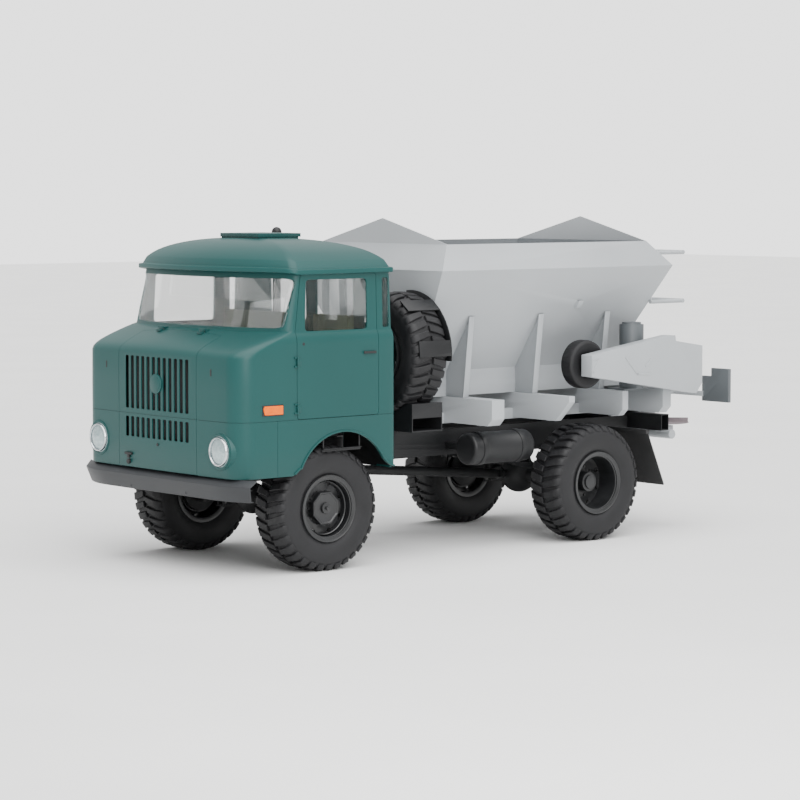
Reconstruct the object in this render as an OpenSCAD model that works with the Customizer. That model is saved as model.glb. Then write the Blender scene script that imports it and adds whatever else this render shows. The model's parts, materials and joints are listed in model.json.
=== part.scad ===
// Two-axle cab-over farm truck with a hopper spreader body, at full size.
// Millimetres. +X is forward, +Y is the vehicle's left, +Z is up.
// The origin is on the ground under the centre of the vehicle's outer box.

/* [Running gear] */
// Distance between the axles
wheelbase = 3200; // [3000:10:4000]
// Front axle to the front face of the bumper
front_overhang = 1045; // [1045:5:1300]
// Rear axle to the rear face of the tail boards
rear_overhang = 1705; // [1690:5:2100]
// Distance between the tyre centre planes of one axle
track = 1800; // [1760:10:2200]
// Outside diameter of a road tyre
tyre_d = 1080; // [900:10:1120]
// Section width of a road tyre
tyre_w = 400; // [330:5:420]
// Bead seat diameter of a road wheel
rim_d = 508; // [480:1:540]
// Length of a steering arm, kingpin to tie rod ball
steer_arm = 180; // [150:5:190]
// Wheel centre plane to kingpin
king_offset = 200; // [195:5:240]
// Radius of a kingpin
king_r = 20; // [14:1:24]
// Radius of a front wheel spindle
front_spindle_r = 35; // [25:1:45]
// Radius of a rear wheel spindle
rear_spindle_r = 40; // [30:1:50]
// Half length of a leaf spring, centre to eye
spring_half = 600; // [450:10:660]

/* [Chassis] */
// Width over the chassis rails
frame_w = 800; // [760:10:860]
// Height of the rail's upper face
rail_top = 1070; // [1050:5:1100]
// Depth of a chassis rail
rail_h = 240; // [200:5:250]
// Radius of the fuel tank
fuel_r = 145; // [100:5:150]
// Length of the fuel tank
fuel_len = 745; // [500:5:760]
// Radius of each hole of the drawbar coupling pattern
coupling_hole_r = 10.5; // [8:0.5:13]
// Coupling hole spacing across the vehicle
coupling_dy = 160; // [120:5:200]
// Coupling hole spacing up the vehicle
coupling_dz = 100; // [70:5:110]

/* [Cab] */
// Front axle to the cab's front face
cab_nose = 1030; // [960:5:1030]
// Width of the cab over its sides
cab_w = 2280; // [2100:10:2400]
// Front axle back to the cab's rear wall
cab_back = 700; // [690:5:740]
// Lower edge of the cab skirt
cab_z0 = 850; // [840:5:900]
// Height of the crease where the front turns to its slope
crease_z = 1900; // [1800:5:1950]
// Height of the ledge under the windscreen
ledge_z = 2064; // [2030:2:2100]
// Height of the cab body under the roof
cab_top = 2570; // [2450:5:2650]
// Height of the roof's crown above the cab body
roof_h = 268; // [200:4:300]
// Thickness of the cab's double skin
cab_wall = 22; // [16:1:30]
// Gap round each door, flap and hatch
door_gap = 4; // [2:0.5:8]
// Half width of the front service flap
flap_half = 570; // [500:5:600]
// Number of slots in each grille
grille_slots = 12; // [6:1:16]
// Radius of a headlamp bowl
lamp_r = 150; // [100:5:155]
// Radius of the steering wheel
steer_wheel_r = 230; // [190:5:260]

/* [Hopper] */
// Half width of the hopper at its widest line
hopper_half = 1058; // [950:5:1150]
// Half width of the hopper's upper rim
rim_half = 894; // [800:5:940]
// Half width of the conveyor trough
trough_half = 440; // [400:5:450]
// Lower edge of the trough
trough_z0 = 1373; // [1360:1:1390]
// Height where the trough meets the sloping walls
trough_z1 = 1607; // [1600:1:1640]
// Height of the widest line
wide_z = 2540; // [2300:10:2600]
// Height of the upper rim
rim_z = 2769; // [2700:1:2850]
// Height of the gable peaks
gable_z = 2996; // [2960:2:3200]
// Thickness of the hopper's sheet walls
hopper_wall = 10; // [6:1:16]
// Radius of a conveyor drum
drum_r = 75; // [60:1:78]
// Thickness of the conveyor belt
belt_t = 10; // [6:1:12]
// Radius of a drum shaft
shaft_r = 25; // [16:1:30]

/* [Drive arm and spinners] */
// Radius of the friction wheel
friction_r = 225; // [180:5:240]
// Width of the friction wheel
friction_w = 150; // [100:5:160]
// Thickness of the chain case
case_w = 140; // [110:5:150]
// Teeth of the sprocket on the friction wheel's shaft
small_teeth = 12; // [10:1:16]
// Teeth of the sprocket on the drum shaft
large_teeth = 22; // [16:1:24]
// Radius of a spinner disc
disc_r = 250; // [180:5:252]
// Distance of a spinner's axis from the centre plane
disc_y = 500; // [450:5:520]
// Vanes on a spinner disc
disc_vanes = 4; // [2:1:6]

/* [Fits] */
// Radial clearance of a shaft that turns in its bore
fit = 0.05; // [0.02:0.01:0.1]
// Clearance between pieces that slide or lie beside each other
slip = 0.5; // [0.3:0.1:1]
// Gap between a glass and its frame
glass_gap = 0.3; // [0.2:0.1:0.8]
// Gap between a tyre's bead and its rim
bead_gap = 0.3; // [0.2:0.1:0.6]

/* [Hidden] */
$fn = 96;

// Everything is placed from the two axles.
overall_length = front_overhang + wheelbase + rear_overhang;
front_axle_x = overall_length / 2 - front_overhang;
rear_axle_x = front_axle_x - wheelbase;
function fx(d) = front_axle_x + d;
function rx(d) = rear_axle_x + d;

axle_z = tyre_d / 2;
wheel_y = track / 2;
king_y = wheel_y - king_offset;
frame_half = frame_w / 2;
rail_z0 = rail_top - rail_h;

// ---------- drawing helpers ----------

module block(low, high) translate(low) cube(high - low);

module rod_x(r, x0, x1, y, z) translate([x0, y, z]) rotate([0, 90, 0]) cylinder(r = r, h = x1 - x0);

module rod_y(r, y0, y1, x, z) translate([x, y0, z]) rotate([-90, 0, 0]) cylinder(r = r, h = y1 - y0);

module rod_z(r, z0, z1, x, y) translate([x, y, z0]) cylinder(r = r, h = z1 - z0);

module both_sides() {
    children();
    mirror([0, 1, 0]) children();
}

// An outline in X and Z, thick from y0 to y1.
module side_plate(points, y0, y1) translate([0, y1, 0]) rotate([90, 0, 0]) linear_extrude(y1 - y0) polygon(points);

// An outline in Y and Z, thick from x0 to x1.
module cross_plate(points, x0, x1) translate([x0, 0, 0]) rotate([90, 0, 90]) linear_extrude(x1 - x0) polygon(points);

// A profile of [radius, offset along the axle], turned about the axle's +Y line.
module turned(points) rotate([-90, 0, 0]) rotate_extrude() polygon(points);

function arc_points(c, r, a0, a1, n = 6) = [for (i = [0 : n]) c + r * [cos(a0 + (a1 - a0) * i / n), sin(a0 + (a1 - a0) * i / n)]];

// The points of a closed outline moved inwards by t, with the outline running anticlockwise.
function inset_points(p, t) = [for (i = [0 : len(p) - 1]) let (
    n = len(p), a = p[(i + n - 1) % n], b = p[i], c = p[(i + 1) % n],
    u = (b - a) / norm(b - a), v = (c - b) / norm(c - b),
    nu = [-u[1], u[0]], nv = [-v[1], v[0]])
    b + t * (nu + nv) / (1 + nu * nv)];

// ---------- chassis ----------

rail_t = 8;
rail_flange = 70;
rail_front = fx(940);
frame_rear = rx(-1060);
coupling_z = rail_z0 + 40;
coupling_t = 12;
bar_depth = 100;
bar_z0 = 950;
bar_z1 = 1105;
bar_half = 860;
spring_w = 60;
spring_y = frame_half - 35;
spring_eye_r = 24;
spring_pin_r = 12;
spring_eye_z = 740;
hanger_t = 8;

module rail() difference() {
    block([frame_rear, frame_half - rail_flange, rail_z0], [rail_front, frame_half, rail_top]);
    block([frame_rear - 1, frame_half - rail_flange - 1, rail_z0 + rail_t],
          [rail_front + 1, frame_half - rail_t, rail_top - rail_t]);
}

module crossmember(x) difference() {
    block([x - 40, rail_t - frame_half, rail_z0 + 70], [x + 40, frame_half - rail_t, rail_z0 + 170]);
    block([x - 32, -frame_half, rail_z0 + 78], [x + 32, frame_half, rail_z0 + 162]);
}

// Two cheeks and the pin that carries one spring eye.
module spring_hanger(x) {
    for (y = [spring_y - spring_w / 2 - 1 - hanger_t, spring_y + spring_w / 2 + 1])
        block([x - 30, y, spring_eye_z - 30], [x + 30, y + hanger_t, rail_z0]);
    rod_y(spring_pin_r, spring_y - spring_w / 2 - 1 - hanger_t, spring_y + spring_w / 2 + 1 + hanger_t, x, spring_eye_z);
}

module coupling_plate() difference() {
    block([frame_rear, rail_t - frame_half, coupling_z - coupling_dz / 2 - 40],
          [frame_rear + coupling_t, frame_half - rail_t, rail_top]);
    for (y = [-1, 1], z = [-1, 1])
        rod_x(coupling_hole_r, frame_rear - 5, frame_rear + coupling_t + 5, y * coupling_dy / 2, coupling_z + z * coupling_dz / 2);
}

module chassis_frame() color("#2b2c2f") {
    both_sides() {
        rail();
        for (axle = [front_axle_x, rear_axle_x], end = [-1, 1]) spring_hanger(axle + end * spring_half);
    }
    for (x = [fx(680), fx(-1250), fx(-wheelbase * 0.62), rx(-700)]) crossmember(x);
    coupling_plate();
    difference() {
        block([frame_rear - bar_depth, -bar_half, bar_z0], [frame_rear, bar_half, bar_z1]);
        block([frame_rear - bar_depth + 8, -bar_half - 1, bar_z0 + 8], [frame_rear - 8, bar_half + 1, bar_z1 - 8]);
    }
}

bumper_half = 1227;
bumper_z0 = 660;
bumper_z1 = cab_z0 - 2;
bumper_depth = 70;
bumper_front = fx(front_overhang);

function bumper_line(back) = [
    [bumper_front - back - 100, -bumper_half], [bumper_front - back - 45, -1130], [bumper_front - back - 12, -1010],
    [bumper_front - back, -860], [bumper_front - back, 860],
    [bumper_front - back - 12, 1010], [bumper_front - back - 45, 1130], [bumper_front - back - 100, bumper_half]
];
function reversed(p) = [for (i = [len(p) - 1 : -1 : 0]) p[i]];

module bumper_band(front, back) polygon(concat(bumper_line(front), reversed(bumper_line(back))));

module front_bumper() color("#4a4b50") {
    intersection() {
        difference() {
            translate([0, 0, bumper_z0]) linear_extrude(bumper_z1 - bumper_z0) bumper_band(0, bumper_depth);
            translate([0, 0, bumper_z0 + 8]) linear_extrude(bumper_z1 - bumper_z0 - 16) bumper_band(8, bumper_depth + 1);
        }
        cross_plate([[-bumper_half, bumper_z1], [80 - bumper_half, bumper_z0], [bumper_half - 80, bumper_z0], [bumper_half, bumper_z1]],
                    bumper_front - 400, bumper_front + 1);
    }
    both_sides() block([fx(780), frame_half, bumper_z0 + 20], [bumper_front - 8, frame_half + 12, bumper_z1 - 12]);
}

// ---------- engine and driveline ----------

// Ends of the two propeller shafts.
rear_shaft_a = [fx(-1150), 0, 715];
rear_shaft_b = [rx(250), 0, axle_z + 20];
front_shaft_a = [fx(-600), 0, 610];
front_shaft_b = [fx(-190), 0, axle_z + 35];
joint_flange_r = 62;
joint_gap = 0.3;

// Places children at a with +X running towards b.
module along(a, b) translate(a) rotate([0, atan2(a[2] - b[2], b[0] - a[0]), 0]) children();

module propshaft(a, b, r) {
    length = norm(b - a);
    along(a, b) {
        rod_x(r, 60, length - 60, 0, 0);
        for (x = [joint_gap, length - joint_gap - 14]) rod_x(joint_flange_r, x, x + 14, 0, 0);
        for (x = [joint_gap + 14, length - joint_gap - 70]) block([x, -r * 0.7, -r * 0.7], [x + 56, r * 0.7, r * 0.7]);
    }
}

// The companion flange that a propeller shaft is bolted to; it runs inwards by depth.
module companion_flange(a, b, depth) along(a, b) {
    rod_x(joint_flange_r, -14, 0, 0, 0);
    rod_x(joint_flange_r * 0.6, -depth, -14, 0, 0);
}

module propshaft_rear() color("#303134") propshaft(rear_shaft_a, rear_shaft_b, 45);

module propshaft_front() color("#303134") propshaft(front_shaft_a, front_shaft_b, 32);

engine_z0 = 700;
engine_z1 = 1180;

module engine() color("#5d6163") {
    block([fx(-440), -190, engine_z0 + 120], [fx(440), 190, engine_z1 - 110]);
    hull() {
        block([fx(-420), -180, engine_z0 + 110], [fx(430), 180, engine_z0 + 120]);
        block([fx(-380), -130, engine_z0], [fx(390), 130, engine_z0 + 10]);
    }
    for (i = [0 : 3]) block([fx(-400 + i * 210), -120, engine_z1 - 110], [fx(-230 + i * 210), 120, engine_z1]);
    rod_x(60, fx(440), fx(500), 0, 960);
    rod_x(170, fx(500), fx(520), 0, 960);
    both_sides() for (x = [-300, 300])
        block([fx(x - 40), 190, rail_z0 + 70], [fx(x + 40), frame_half - rail_t, rail_z0 + 100]);
}

module gearbox() color("#6a6e70") {
    hull() {
        rod_x(200, fx(-460), fx(-440), 0, 900);
        rod_x(150, fx(-660), fx(-640), 0, 860);
    }
    block([fx(-1040), -150, 620], [fx(-640), 150, 960]);
    both_sides() block([fx(-900), 150, rail_z0 + 70], [fx(-840), frame_half - rail_t, rail_z0 + 100]);
    companion_flange(rear_shaft_a, rear_shaft_b, 120);
    mirror([1, 0, 0]) translate([-2 * front_shaft_a[0], 0, 0]) mirror([1, 0, 0]) translate([-2 * front_shaft_a[0], 0, 0])
        companion_flange(front_shaft_a, front_shaft_b, 90);
}

module radiator() color("#1f2123") {
    block([fx(580), -290, rail_z0 + 40], [fx(640), 290, engine_z1]);
    block([fx(566), -300, engine_z1 - 60], [fx(640), 300, engine_z1 - 4]);
}

fuel_y = frame_half + 400;
fuel_z = 917;
fuel_front = fx(-1800);

module fuel_tank() color("#2e2f32") {
    translate([fuel_front, fuel_y, fuel_z]) rotate([0, -90, 0])
        rotate_extrude() polygon(concat([[0, 0]], arc_points([fuel_r - 40, 40], 40, -90, 0),
                                        arc_points([fuel_r - 40, fuel_len - 40], 40, 0, 90), [[0, fuel_len]]));
    for (x = [fuel_front - 140, fuel_front - fuel_len + 140]) {
        difference() {
            rod_x(fuel_r + 8, x - 30, x + 30, fuel_y, fuel_z);
            rod_x(fuel_r - 1, x - 31, x + 31, fuel_y, fuel_z);
        }
        block([x - 30, frame_half, fuel_z - 30], [x + 30, fuel_y - fuel_r + 3, fuel_z + 30]);
    }
}

air_r = 95;

module air_tanks() color("#2e2f32") for (i = [0, 1]) {
    y = -frame_half - 130 - i * 230;
    rod_x(air_r, fx(-2400), fx(-1850), y, 930);
    for (x = [fx(-2300), fx(-1950)]) block([x - 25, y + air_r - 4, 915], [x + 25, y + air_r + (i == 0 ? 35 : 44), 945]);
}

intake_x = fx(-805);
intake_y = -680;
intake_top = 2915;

module air_intake() color("#1f2022") {
    block([intake_x - 60, intake_y - 80, rail_top], [intake_x + 60, 60 - frame_half, rail_top + 40]);
    rod_z(78, rail_top + 40, rail_top + 430, intake_x, intake_y);
    rod_z(38, rail_top + 430, intake_top - 60, intake_x, intake_y);
    translate([intake_x, intake_y, intake_top - 100]) rotate_extrude()
        polygon(concat([[0, 0], [46, 0]], arc_points([0, 54], 46, 0, 90)));
}

// ---------- axles and steering ----------

axle_tube_r = 62;
diff_r = 140;
pad_z = axle_z + 82;
u_bolt_r = 9;
boss_r = 45;
boss_h = 120;
lug_gap = 0.5;
lug_h = 34;
lug_r = 42;
lug_z0 = axle_z - boss_h / 2 - lug_gap - lug_h;
lug_z1 = axle_z + boss_h / 2 + lug_gap + lug_h;
ball_r = 12;
tie_r = 14;
tie_z = lug_z0 + 37;
hub_in = 100;

module axle_pads(x) both_sides()
    block([x - 60, spring_y - spring_w / 2 - 22, axle_z + 30], [x + 60, spring_y + spring_w / 2 + 22, pad_z]);

module front_axle() color("#26272a") difference() {
    union() {
        rod_y(axle_tube_r, 60 - king_y, king_y - 60, front_axle_x, axle_z);
        both_sides() {
            block([fx(-40), king_y - 110, axle_z - 55], [fx(40), king_y, axle_z + 55]);
            rod_z(boss_r, axle_z - boss_h / 2, axle_z + boss_h / 2, front_axle_x, king_y);
        }
        translate([front_axle_x, 0, axle_z]) sphere(r = diff_r);
        axle_pads(front_axle_x);
        translate(front_shaft_b) rotate([0, atan2(front_shaft_b[2] - front_shaft_a[2], front_shaft_b[0] - front_shaft_a[0]) * -1, 0]) {
            rod_x(joint_flange_r, 0, 14, 0, 0);
            rod_x(joint_flange_r * 0.6, 14, 90, 0, 0);
        }
    }
    both_sides() rod_z(king_r + fit, axle_z - boss_h, axle_z + boss_h, front_axle_x, king_y);
}

module rear_axle() color("#26272a") {
    rod_y(axle_tube_r + 4, 128 - wheel_y, wheel_y - 128, rear_axle_x, axle_z);
    both_sides() {
        rod_y(rear_spindle_r, wheel_y - 129, wheel_y + 36, rear_axle_x, axle_z);
        rod_y(180, wheel_y - 128, wheel_y - hub_in - 14, rear_axle_x, axle_z);
    }
    translate([rear_axle_x, 0, axle_z]) sphere(r = diff_r + 35);
    axle_pads(rear_axle_x);
    translate(rear_shaft_b) rotate([0, atan2(rear_shaft_a[2] - rear_shaft_b[2], rear_shaft_a[0] - rear_shaft_b[0]) * -1, 0]) {
        rod_x(joint_flange_r, -14, 0, 0, 0);
        rod_x(joint_flange_r * 0.6, -150, -14, 0, 0);
    }
}

leaf_t = 12;
leaves = 5;
leaf_step = spring_half / 6;

function leaf_line(half, z) = let (n = round(half / leaf_step) * 2)
    [for (i = [-n : n]) let (x = i * leaf_step / 2) [x, z + (spring_eye_z - pad_z - leaves * leaf_t + leaf_t / 2) * pow(x / spring_half, 2)]];

module leaf_stack() {
    for (i = [0 : leaves - 1]) let (half = spring_half - i * leaf_step)
        side_plate(concat(leaf_line(half, pad_z + (leaves - 1 - i) * leaf_t),
                          reversed(leaf_line(half, pad_z + leaves * leaf_t))),
                   spring_y - spring_w / 2, spring_y + spring_w / 2);
}

module leaf_spring(axle_x) {
    translate([axle_x, 0, 0]) difference() {
        union() {
            leaf_stack();
            for (end = [-1, 1]) rod_y(spring_eye_r, spring_y - spring_w / 2, spring_y + spring_w / 2, end * spring_half, spring_eye_z);
        }
        for (end = [-1, 1])
            rod_y(spring_pin_r + fit, spring_y - spring_w, spring_y + spring_w, end * spring_half, spring_eye_z);
    }
    top = pad_z + leaves * leaf_t;
    for (side = [-1, 1]) {
        y = spring_y + side * (spring_w / 2 + 11);
        block([axle_x - 90, y - 11, top], [axle_x + 90, y + 11, top + 14]);
        for (x = [-1, 1]) rod_z(u_bolt_r, axle_z - 90, top, axle_x + x * 76, y);
        block([axle_x - 90, y - 11, axle_z - 104], [axle_x + 90, y + 11, axle_z - 90]);
    }
    block([axle_x - 90, spring_y - spring_w / 2, top], [axle_x + 90, spring_y + spring_w / 2, top + 14]);
}

module leaf_springs() color("#1f2022") both_sides() {
    leaf_spring(front_axle_x);
    leaf_spring(rear_axle_x);
}

// A left knuckle; the steering arm points to the rear.
module knuckle() {
    rod_z(king_r, lug_z0, lug_z1, front_axle_x, king_y);
    for (z = [lug_z0, lug_z1 - lug_h]) {
        rod_z(lug_r, z, z + lug_h, front_axle_x, king_y);
        block([fx(-lug_r), king_y, z], [fx(lug_r), king_y + 62, z + lug_h]);
    }
    block([fx(-lug_r), king_y + 52, lug_z0], [fx(lug_r), king_y + 72, lug_z1]);
    rod_y(180, king_y + 72, wheel_y - hub_in - 14, front_axle_x, axle_z);
    rod_y(front_spindle_r, wheel_y - hub_in - 15, wheel_y + hub_in + 4, front_axle_x, axle_z);
    block([fx(-steer_arm), king_y - 15, lug_z0], [fx(0), king_y + 15, lug_z0 + 18]);
    rod_z(22, lug_z0, lug_z0 + 18, fx(-steer_arm), king_y);
    rod_z(ball_r, lug_z0 + 17, tie_z + 22, fx(-steer_arm), king_y);
}

module knuckle_left() color("#303134") knuckle();

module knuckle_right() color("#303134") mirror([0, 1, 0]) knuckle();

module tie_rod() color("#303134") difference() {
    union() {
        rod_y(tie_r, 10 - king_y, king_y - 10, fx(-steer_arm), tie_z);
        both_sides() rod_z(24, tie_z - 18, tie_z + 18, fx(-steer_arm), king_y);
    }
    rod_z(ball_r + fit, tie_z - 30, tie_z + 30, fx(-steer_arm), king_y);
    rod_z(ball_r + slip, tie_z - 30, tie_z + 30, fx(-steer_arm), -king_y);
}

// ---------- wheels ----------

rim_r = rim_d / 2;
flange_r = rim_r + 33;
rim_half_w = tyre_w / 2 - 35;
rim_t = 10;
hub_r = 90;
disc_t = 12;
nuts = 10;
nut_circle_r = 140;
front_disc_w = 60;
rear_disc_w = -60;

// Half of the tyre's section, from the bead out to the tread.
function tyre_side() = let (w = tyre_w / 2, r = tyre_d / 2, s = r - rim_r) [
    [rim_r + bead_gap, rim_half_w - bead_gap], [flange_r + 2, rim_half_w - bead_gap], [rim_r + s * 0.17, w - 20], [rim_r + s * 0.32, w - 6],
    [rim_r + s * 0.52, w], [rim_r + s * 0.74, w - 4], [rim_r + s * 0.91, w - 18], [r, w - 42]
];
function tyre_inside() = let (w = tyre_w / 2, r = tyre_d / 2, s = r - rim_r) [
    [r - 40, w - 65], [rim_r + s * 0.68, w - 28], [rim_r + s * 0.4, w - 28], [rim_r + s * 0.14, w - 50],
    [rim_r + bead_gap, rim_half_w - 25]
];
function flipped(p) = [for (q = reversed(p)) [q[0], -q[1]]];

module tyre() color("#26272a")
    turned(concat(tyre_side(), flipped(tyre_side()), flipped(tyre_inside()), tyre_inside()));

module wheel_nuts(face, r = nut_circle_r) for (i = [0 : nuts - 1])
    rotate([0, i * 360 / nuts, 0]) rod_y(13, face - 1, face + 16, r, 0);

module rim_barrel() {
    turned([[rim_r - rim_t, -rim_half_w], [flange_r, -rim_half_w - 10], [flange_r, -rim_half_w], [rim_r, -rim_half_w],
            [rim_r, rim_half_w], [flange_r, rim_half_w], [flange_r, rim_half_w + 10], [rim_r - rim_t, rim_half_w]]);
}

// A rim with its hub and brake drum; bore is the spindle's radius and cap the hub's outer end.
module rim(disc_at, bore, cap) color("#2b2c2f") {
    difference() {
        union() {
            rim_barrel();
            rod_y(rim_r - rim_t + 1, disc_at, disc_at + disc_t, 0, 0);
            rod_y(hub_r, -hub_in, cap - 20, 0, 0);
            rod_y(hub_r * 0.72, cap - 20, cap, 0, 0);
            difference() {
                rod_y(198, -hub_in, max(disc_at + 1, -hub_in + 40), 0, 0);
                rod_y(184, -hub_in - 1, max(disc_at + 2, -hub_in + 41), 0, 0);
            }
        }
        rod_y(bore + fit, -hub_in - 1, cap - 24, 0, 0);
        for (i = [0 : 7]) rotate([0, i * 45 + 22.5, 0]) rod_y(17, disc_at - 1, disc_at + disc_t + 1, 219, 0);
    }
    wheel_nuts(disc_at + disc_t);
}

module at_wheel(x, side) translate([x, side * wheel_y, axle_z]) mirror([0, side < 0 ? 1 : 0, 0]) children();

module front_rim() rim(front_disc_w, front_spindle_r, hub_in + 30);

module rear_rim() rim(rear_disc_w, rear_spindle_r, hub_in - 10);

module tyre_front_left() at_wheel(front_axle_x, 1) tyre();
module tyre_front_right() at_wheel(front_axle_x, -1) tyre();
module tyre_rear_left() at_wheel(rear_axle_x, 1) tyre();
module tyre_rear_right() at_wheel(rear_axle_x, -1) tyre();
module rim_front_left() at_wheel(front_axle_x, 1) front_rim();
module rim_front_right() at_wheel(front_axle_x, -1) front_rim();
module rim_rear_left() at_wheel(rear_axle_x, 1) rear_rim();
module rim_rear_right() at_wheel(rear_axle_x, -1) rear_rim();

// ---------- spare wheel ----------

spare_x = fx(-1120);
spare_y = 605;
spare_z = rail_top + 200 + tyre_d / 2;
carrier_t = 10;
stud_r = 14;

module at_spare() translate([spare_x, spare_y, spare_z]) rotate([0, 0, -90]) children();

module spare_tyre() at_spare() tyre();

module spare_rim() color("#2b2c2f") at_spare() difference() {
    union() {
        rim_barrel();
        rod_y(rim_r - rim_t + 1, front_disc_w, front_disc_w + disc_t, 0, 0);
    }
    rod_y(stud_r + 4, front_disc_w - 1, front_disc_w + disc_t + 1, 0, 0);
    for (i = [0 : nuts - 1]) rotate([0, i * 360 / nuts, 0]) rod_y(12, front_disc_w - 1, front_disc_w + disc_t + 1, nut_circle_r, 0);
}

// The post, saddle and two stops that hold the spare wheel upright behind the cab.
module spare_carrier() color("#26272a") {
    back = spare_x - tyre_w / 2 - carrier_t - 2;
    low = spare_z - tyre_d / 2;
    block([back, -frame_half, rail_top], [spare_x + tyre_w / 2, frame_half, rail_top + 60]);
    difference() {
        block([back, spare_y - 420, rail_top + 60], [spare_x + tyre_w / 2 - 60, spare_y + 420, low + 110]);
        rod_x(tyre_d / 2 + slip, back - 1, spare_x + tyre_w, spare_y, spare_z);
        block([back + carrier_t, spare_y - 421, rail_top + 70], [spare_x + tyre_w / 2 - 70, spare_y + 421, low - 20]);
    }
    block([back, spare_y - 60, rail_top + 60], [back + carrier_t, spare_y + 60, spare_z + 460]);
    rod_x(stud_r, back + carrier_t - 1, spare_x + front_disc_w + 70, spare_y, spare_z);
    rod_x(90, spare_x + front_disc_w - 12 - slip, spare_x + front_disc_w - slip, spare_y, spare_z);
    rod_x(60, spare_x + front_disc_w + disc_t + slip, spare_x + front_disc_w + disc_t + 24, spare_y, spare_z);
    for (angle = [6, 52]) translate([0, spare_y, spare_z]) rotate([angle, 0, 0])
        block([back, tyre_d / 2 + slip, -70], [spare_x + tyre_w / 2 - 40, tyre_d / 2 + slip + carrier_t, 70]);
    difference() {
        rod_x(tyre_d / 2 + 12, back, back + carrier_t, spare_y, spare_z);
        rod_x(tyre_d / 2 - 80, back - 1, back + carrier_t + 1, spare_y, spare_z);
        block([back - 2, spare_y - tyre_d, spare_z - tyre_d], [back + carrier_t + 2, spare_y - 60, spare_z + tyre_d]);
        block([back - 2, spare_y - tyre_d, spare_z - tyre_d], [back + carrier_t + 2, spare_y + tyre_d, spare_z - 60]);
    }
}

flap_w = 420;
flap_t = 12;

module mud_flaps() color("#1b1c1e") both_sides() {
    side_plate([[rx(-610), 990], [rx(-622), 990], [rx(-850), 470], [rx(-838), 462]], wheel_y - flap_w / 2, wheel_y + flap_w / 2);
    block([rx(-640), frame_half, 960], [rx(-600), wheel_y + flap_w / 2, 1000]);
}

// ---------- cab ----------

rear_corner_r = 50;
// Each plan is [front, bow of the front, front corner radius, half width, back].
low_plan = [cab_nose, 22, 190, cab_w / 2, -cab_back];
slope_plan = [cab_nose - 290, 190, 130, cab_w / 2 - 15, 5 - cab_back];
sill_plan = [cab_nose - 340, 190, 120, cab_w / 2 - 20, 10 - cab_back];
head_plan = [cab_nose - 460, 180, 100, cab_w / 2 - 40, 20 - cab_back];
roof_plan = [cab_nose - 380, 200, 110, cab_w / 2 + 5, 10 - cab_back];
film = 0.1;

function plan(p, t) = let (
    f = p[0] - t, bow = p[1], r = max(p[2] - t, 8), h = p[3] - t, b = p[4] + t, rb = max(rear_corner_r - t, 8),
    lean = atan(2 * bow / (h - r)), ye = h - r * (1 - sin(lean)), cx = f - bow - r * cos(lean), n = 6)
    [for (q = concat(
        [for (i = [1 - n : n - 1]) [f - bow * pow(i / n, 2), ye * i / n]],
        arc_points([cx, h - r], r, lean, 90), arc_points([b + rb, h - rb], rb, 90, 180, 3),
        arc_points([b + rb, rb - h], rb, 180, 270, 3), arc_points([cx, r - h], r, 270, 360 - lean)))
        [front_axle_x + q[0], q[1]]];

// A thin layer of a plan with its upper face at z.
module level(p, t, z) translate([0, 0, z - film]) linear_extrude(film) polygon(plan(p, t));

// The cab's form, drawn in by t; with t above 0 it is the hollow that leaves a wall of that thickness.
module cab_form(t) {
    open = t > 0 ? 1 : 0;
    translate([0, 0, cab_z0 - open]) linear_extrude(crease_z - cab_z0 + open) polygon(plan(low_plan, t));
    hull() {
        level(low_plan, t, crease_z);
        level(slope_plan, t, ledge_z - t);
    }
    hull() {
        level(sill_plan, t, ledge_z - t);
        level(head_plan, t, cab_top + open);
    }
}

module cab_shell() difference() {
    cab_form(0);
    cab_form(cab_wall);
}

door_front = fx(385);
door_front_top = fx(318);
door_rear = fx(-503);
door_z0 = 1328;
door_z1 = cab_top - 26;
hinge_r = 9;
hinge_pin_r = 5;
hinge_len = 60;
hinge_ear = 14;
door_hinge_y = cab_w / 2 + hinge_r + 2;
door_hinges = [door_z0 + 90, crease_z - 90];
flap_hinge_x = fx(cab_nose - 290 + 14);
flap_hinge_z = ledge_z + 2;
flap_hinges = [-300, 300];
hatch_half = 275;
hatch_x0 = fx(-335);
hatch_x1 = fx(135);
hatch_hinge_x = hatch_x0 - 12;
hatch_z = cab_top + roof_h + 26;
hatch_hinges = [-150, 150];

function door_outline(grow) = [
    [door_rear - grow, door_z0 - grow], [door_front + grow, door_z0 - grow], [door_front + grow, ledge_z],
    [door_front_top + grow, door_z1 + grow], [door_rear - grow, door_z1 + grow]
];

function door_window(shrink) = [
    [fx(-400) + shrink, ledge_z + 2 + shrink], [fx(280) - shrink, ledge_z + 2 + shrink],
    [fx(262) - shrink, cab_top - 70 - shrink], [fx(-400) + shrink, cab_top - 70 - shrink]
];

function windscreen_outline(shrink) = [
    [fx(470) + shrink, ledge_z + 28 + shrink], [fx(900), ledge_z + 28 + shrink],
    [fx(900), cab_top - 62 - shrink], [fx(350) + shrink, cab_top - 62 - shrink]
];

// A hinge standing on local Z: the fixed ears with their pin, and the knuckle that turns on it.
module hinge_ears() {
    cylinder(r = hinge_pin_r, h = hinge_len + 2 * hinge_ear, center = true);
    for (s = [-1, 1]) translate([0, 0, s * (hinge_len / 2 + hinge_ear / 2 + slip)]) cylinder(r = hinge_r, h = hinge_ear, center = true);
}

module hinge_knuckle() cylinder(r = hinge_r, h = hinge_len, center = true);

module hinge_bore() cylinder(r = hinge_pin_r + fit, h = hinge_len + 2, center = true);

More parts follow.
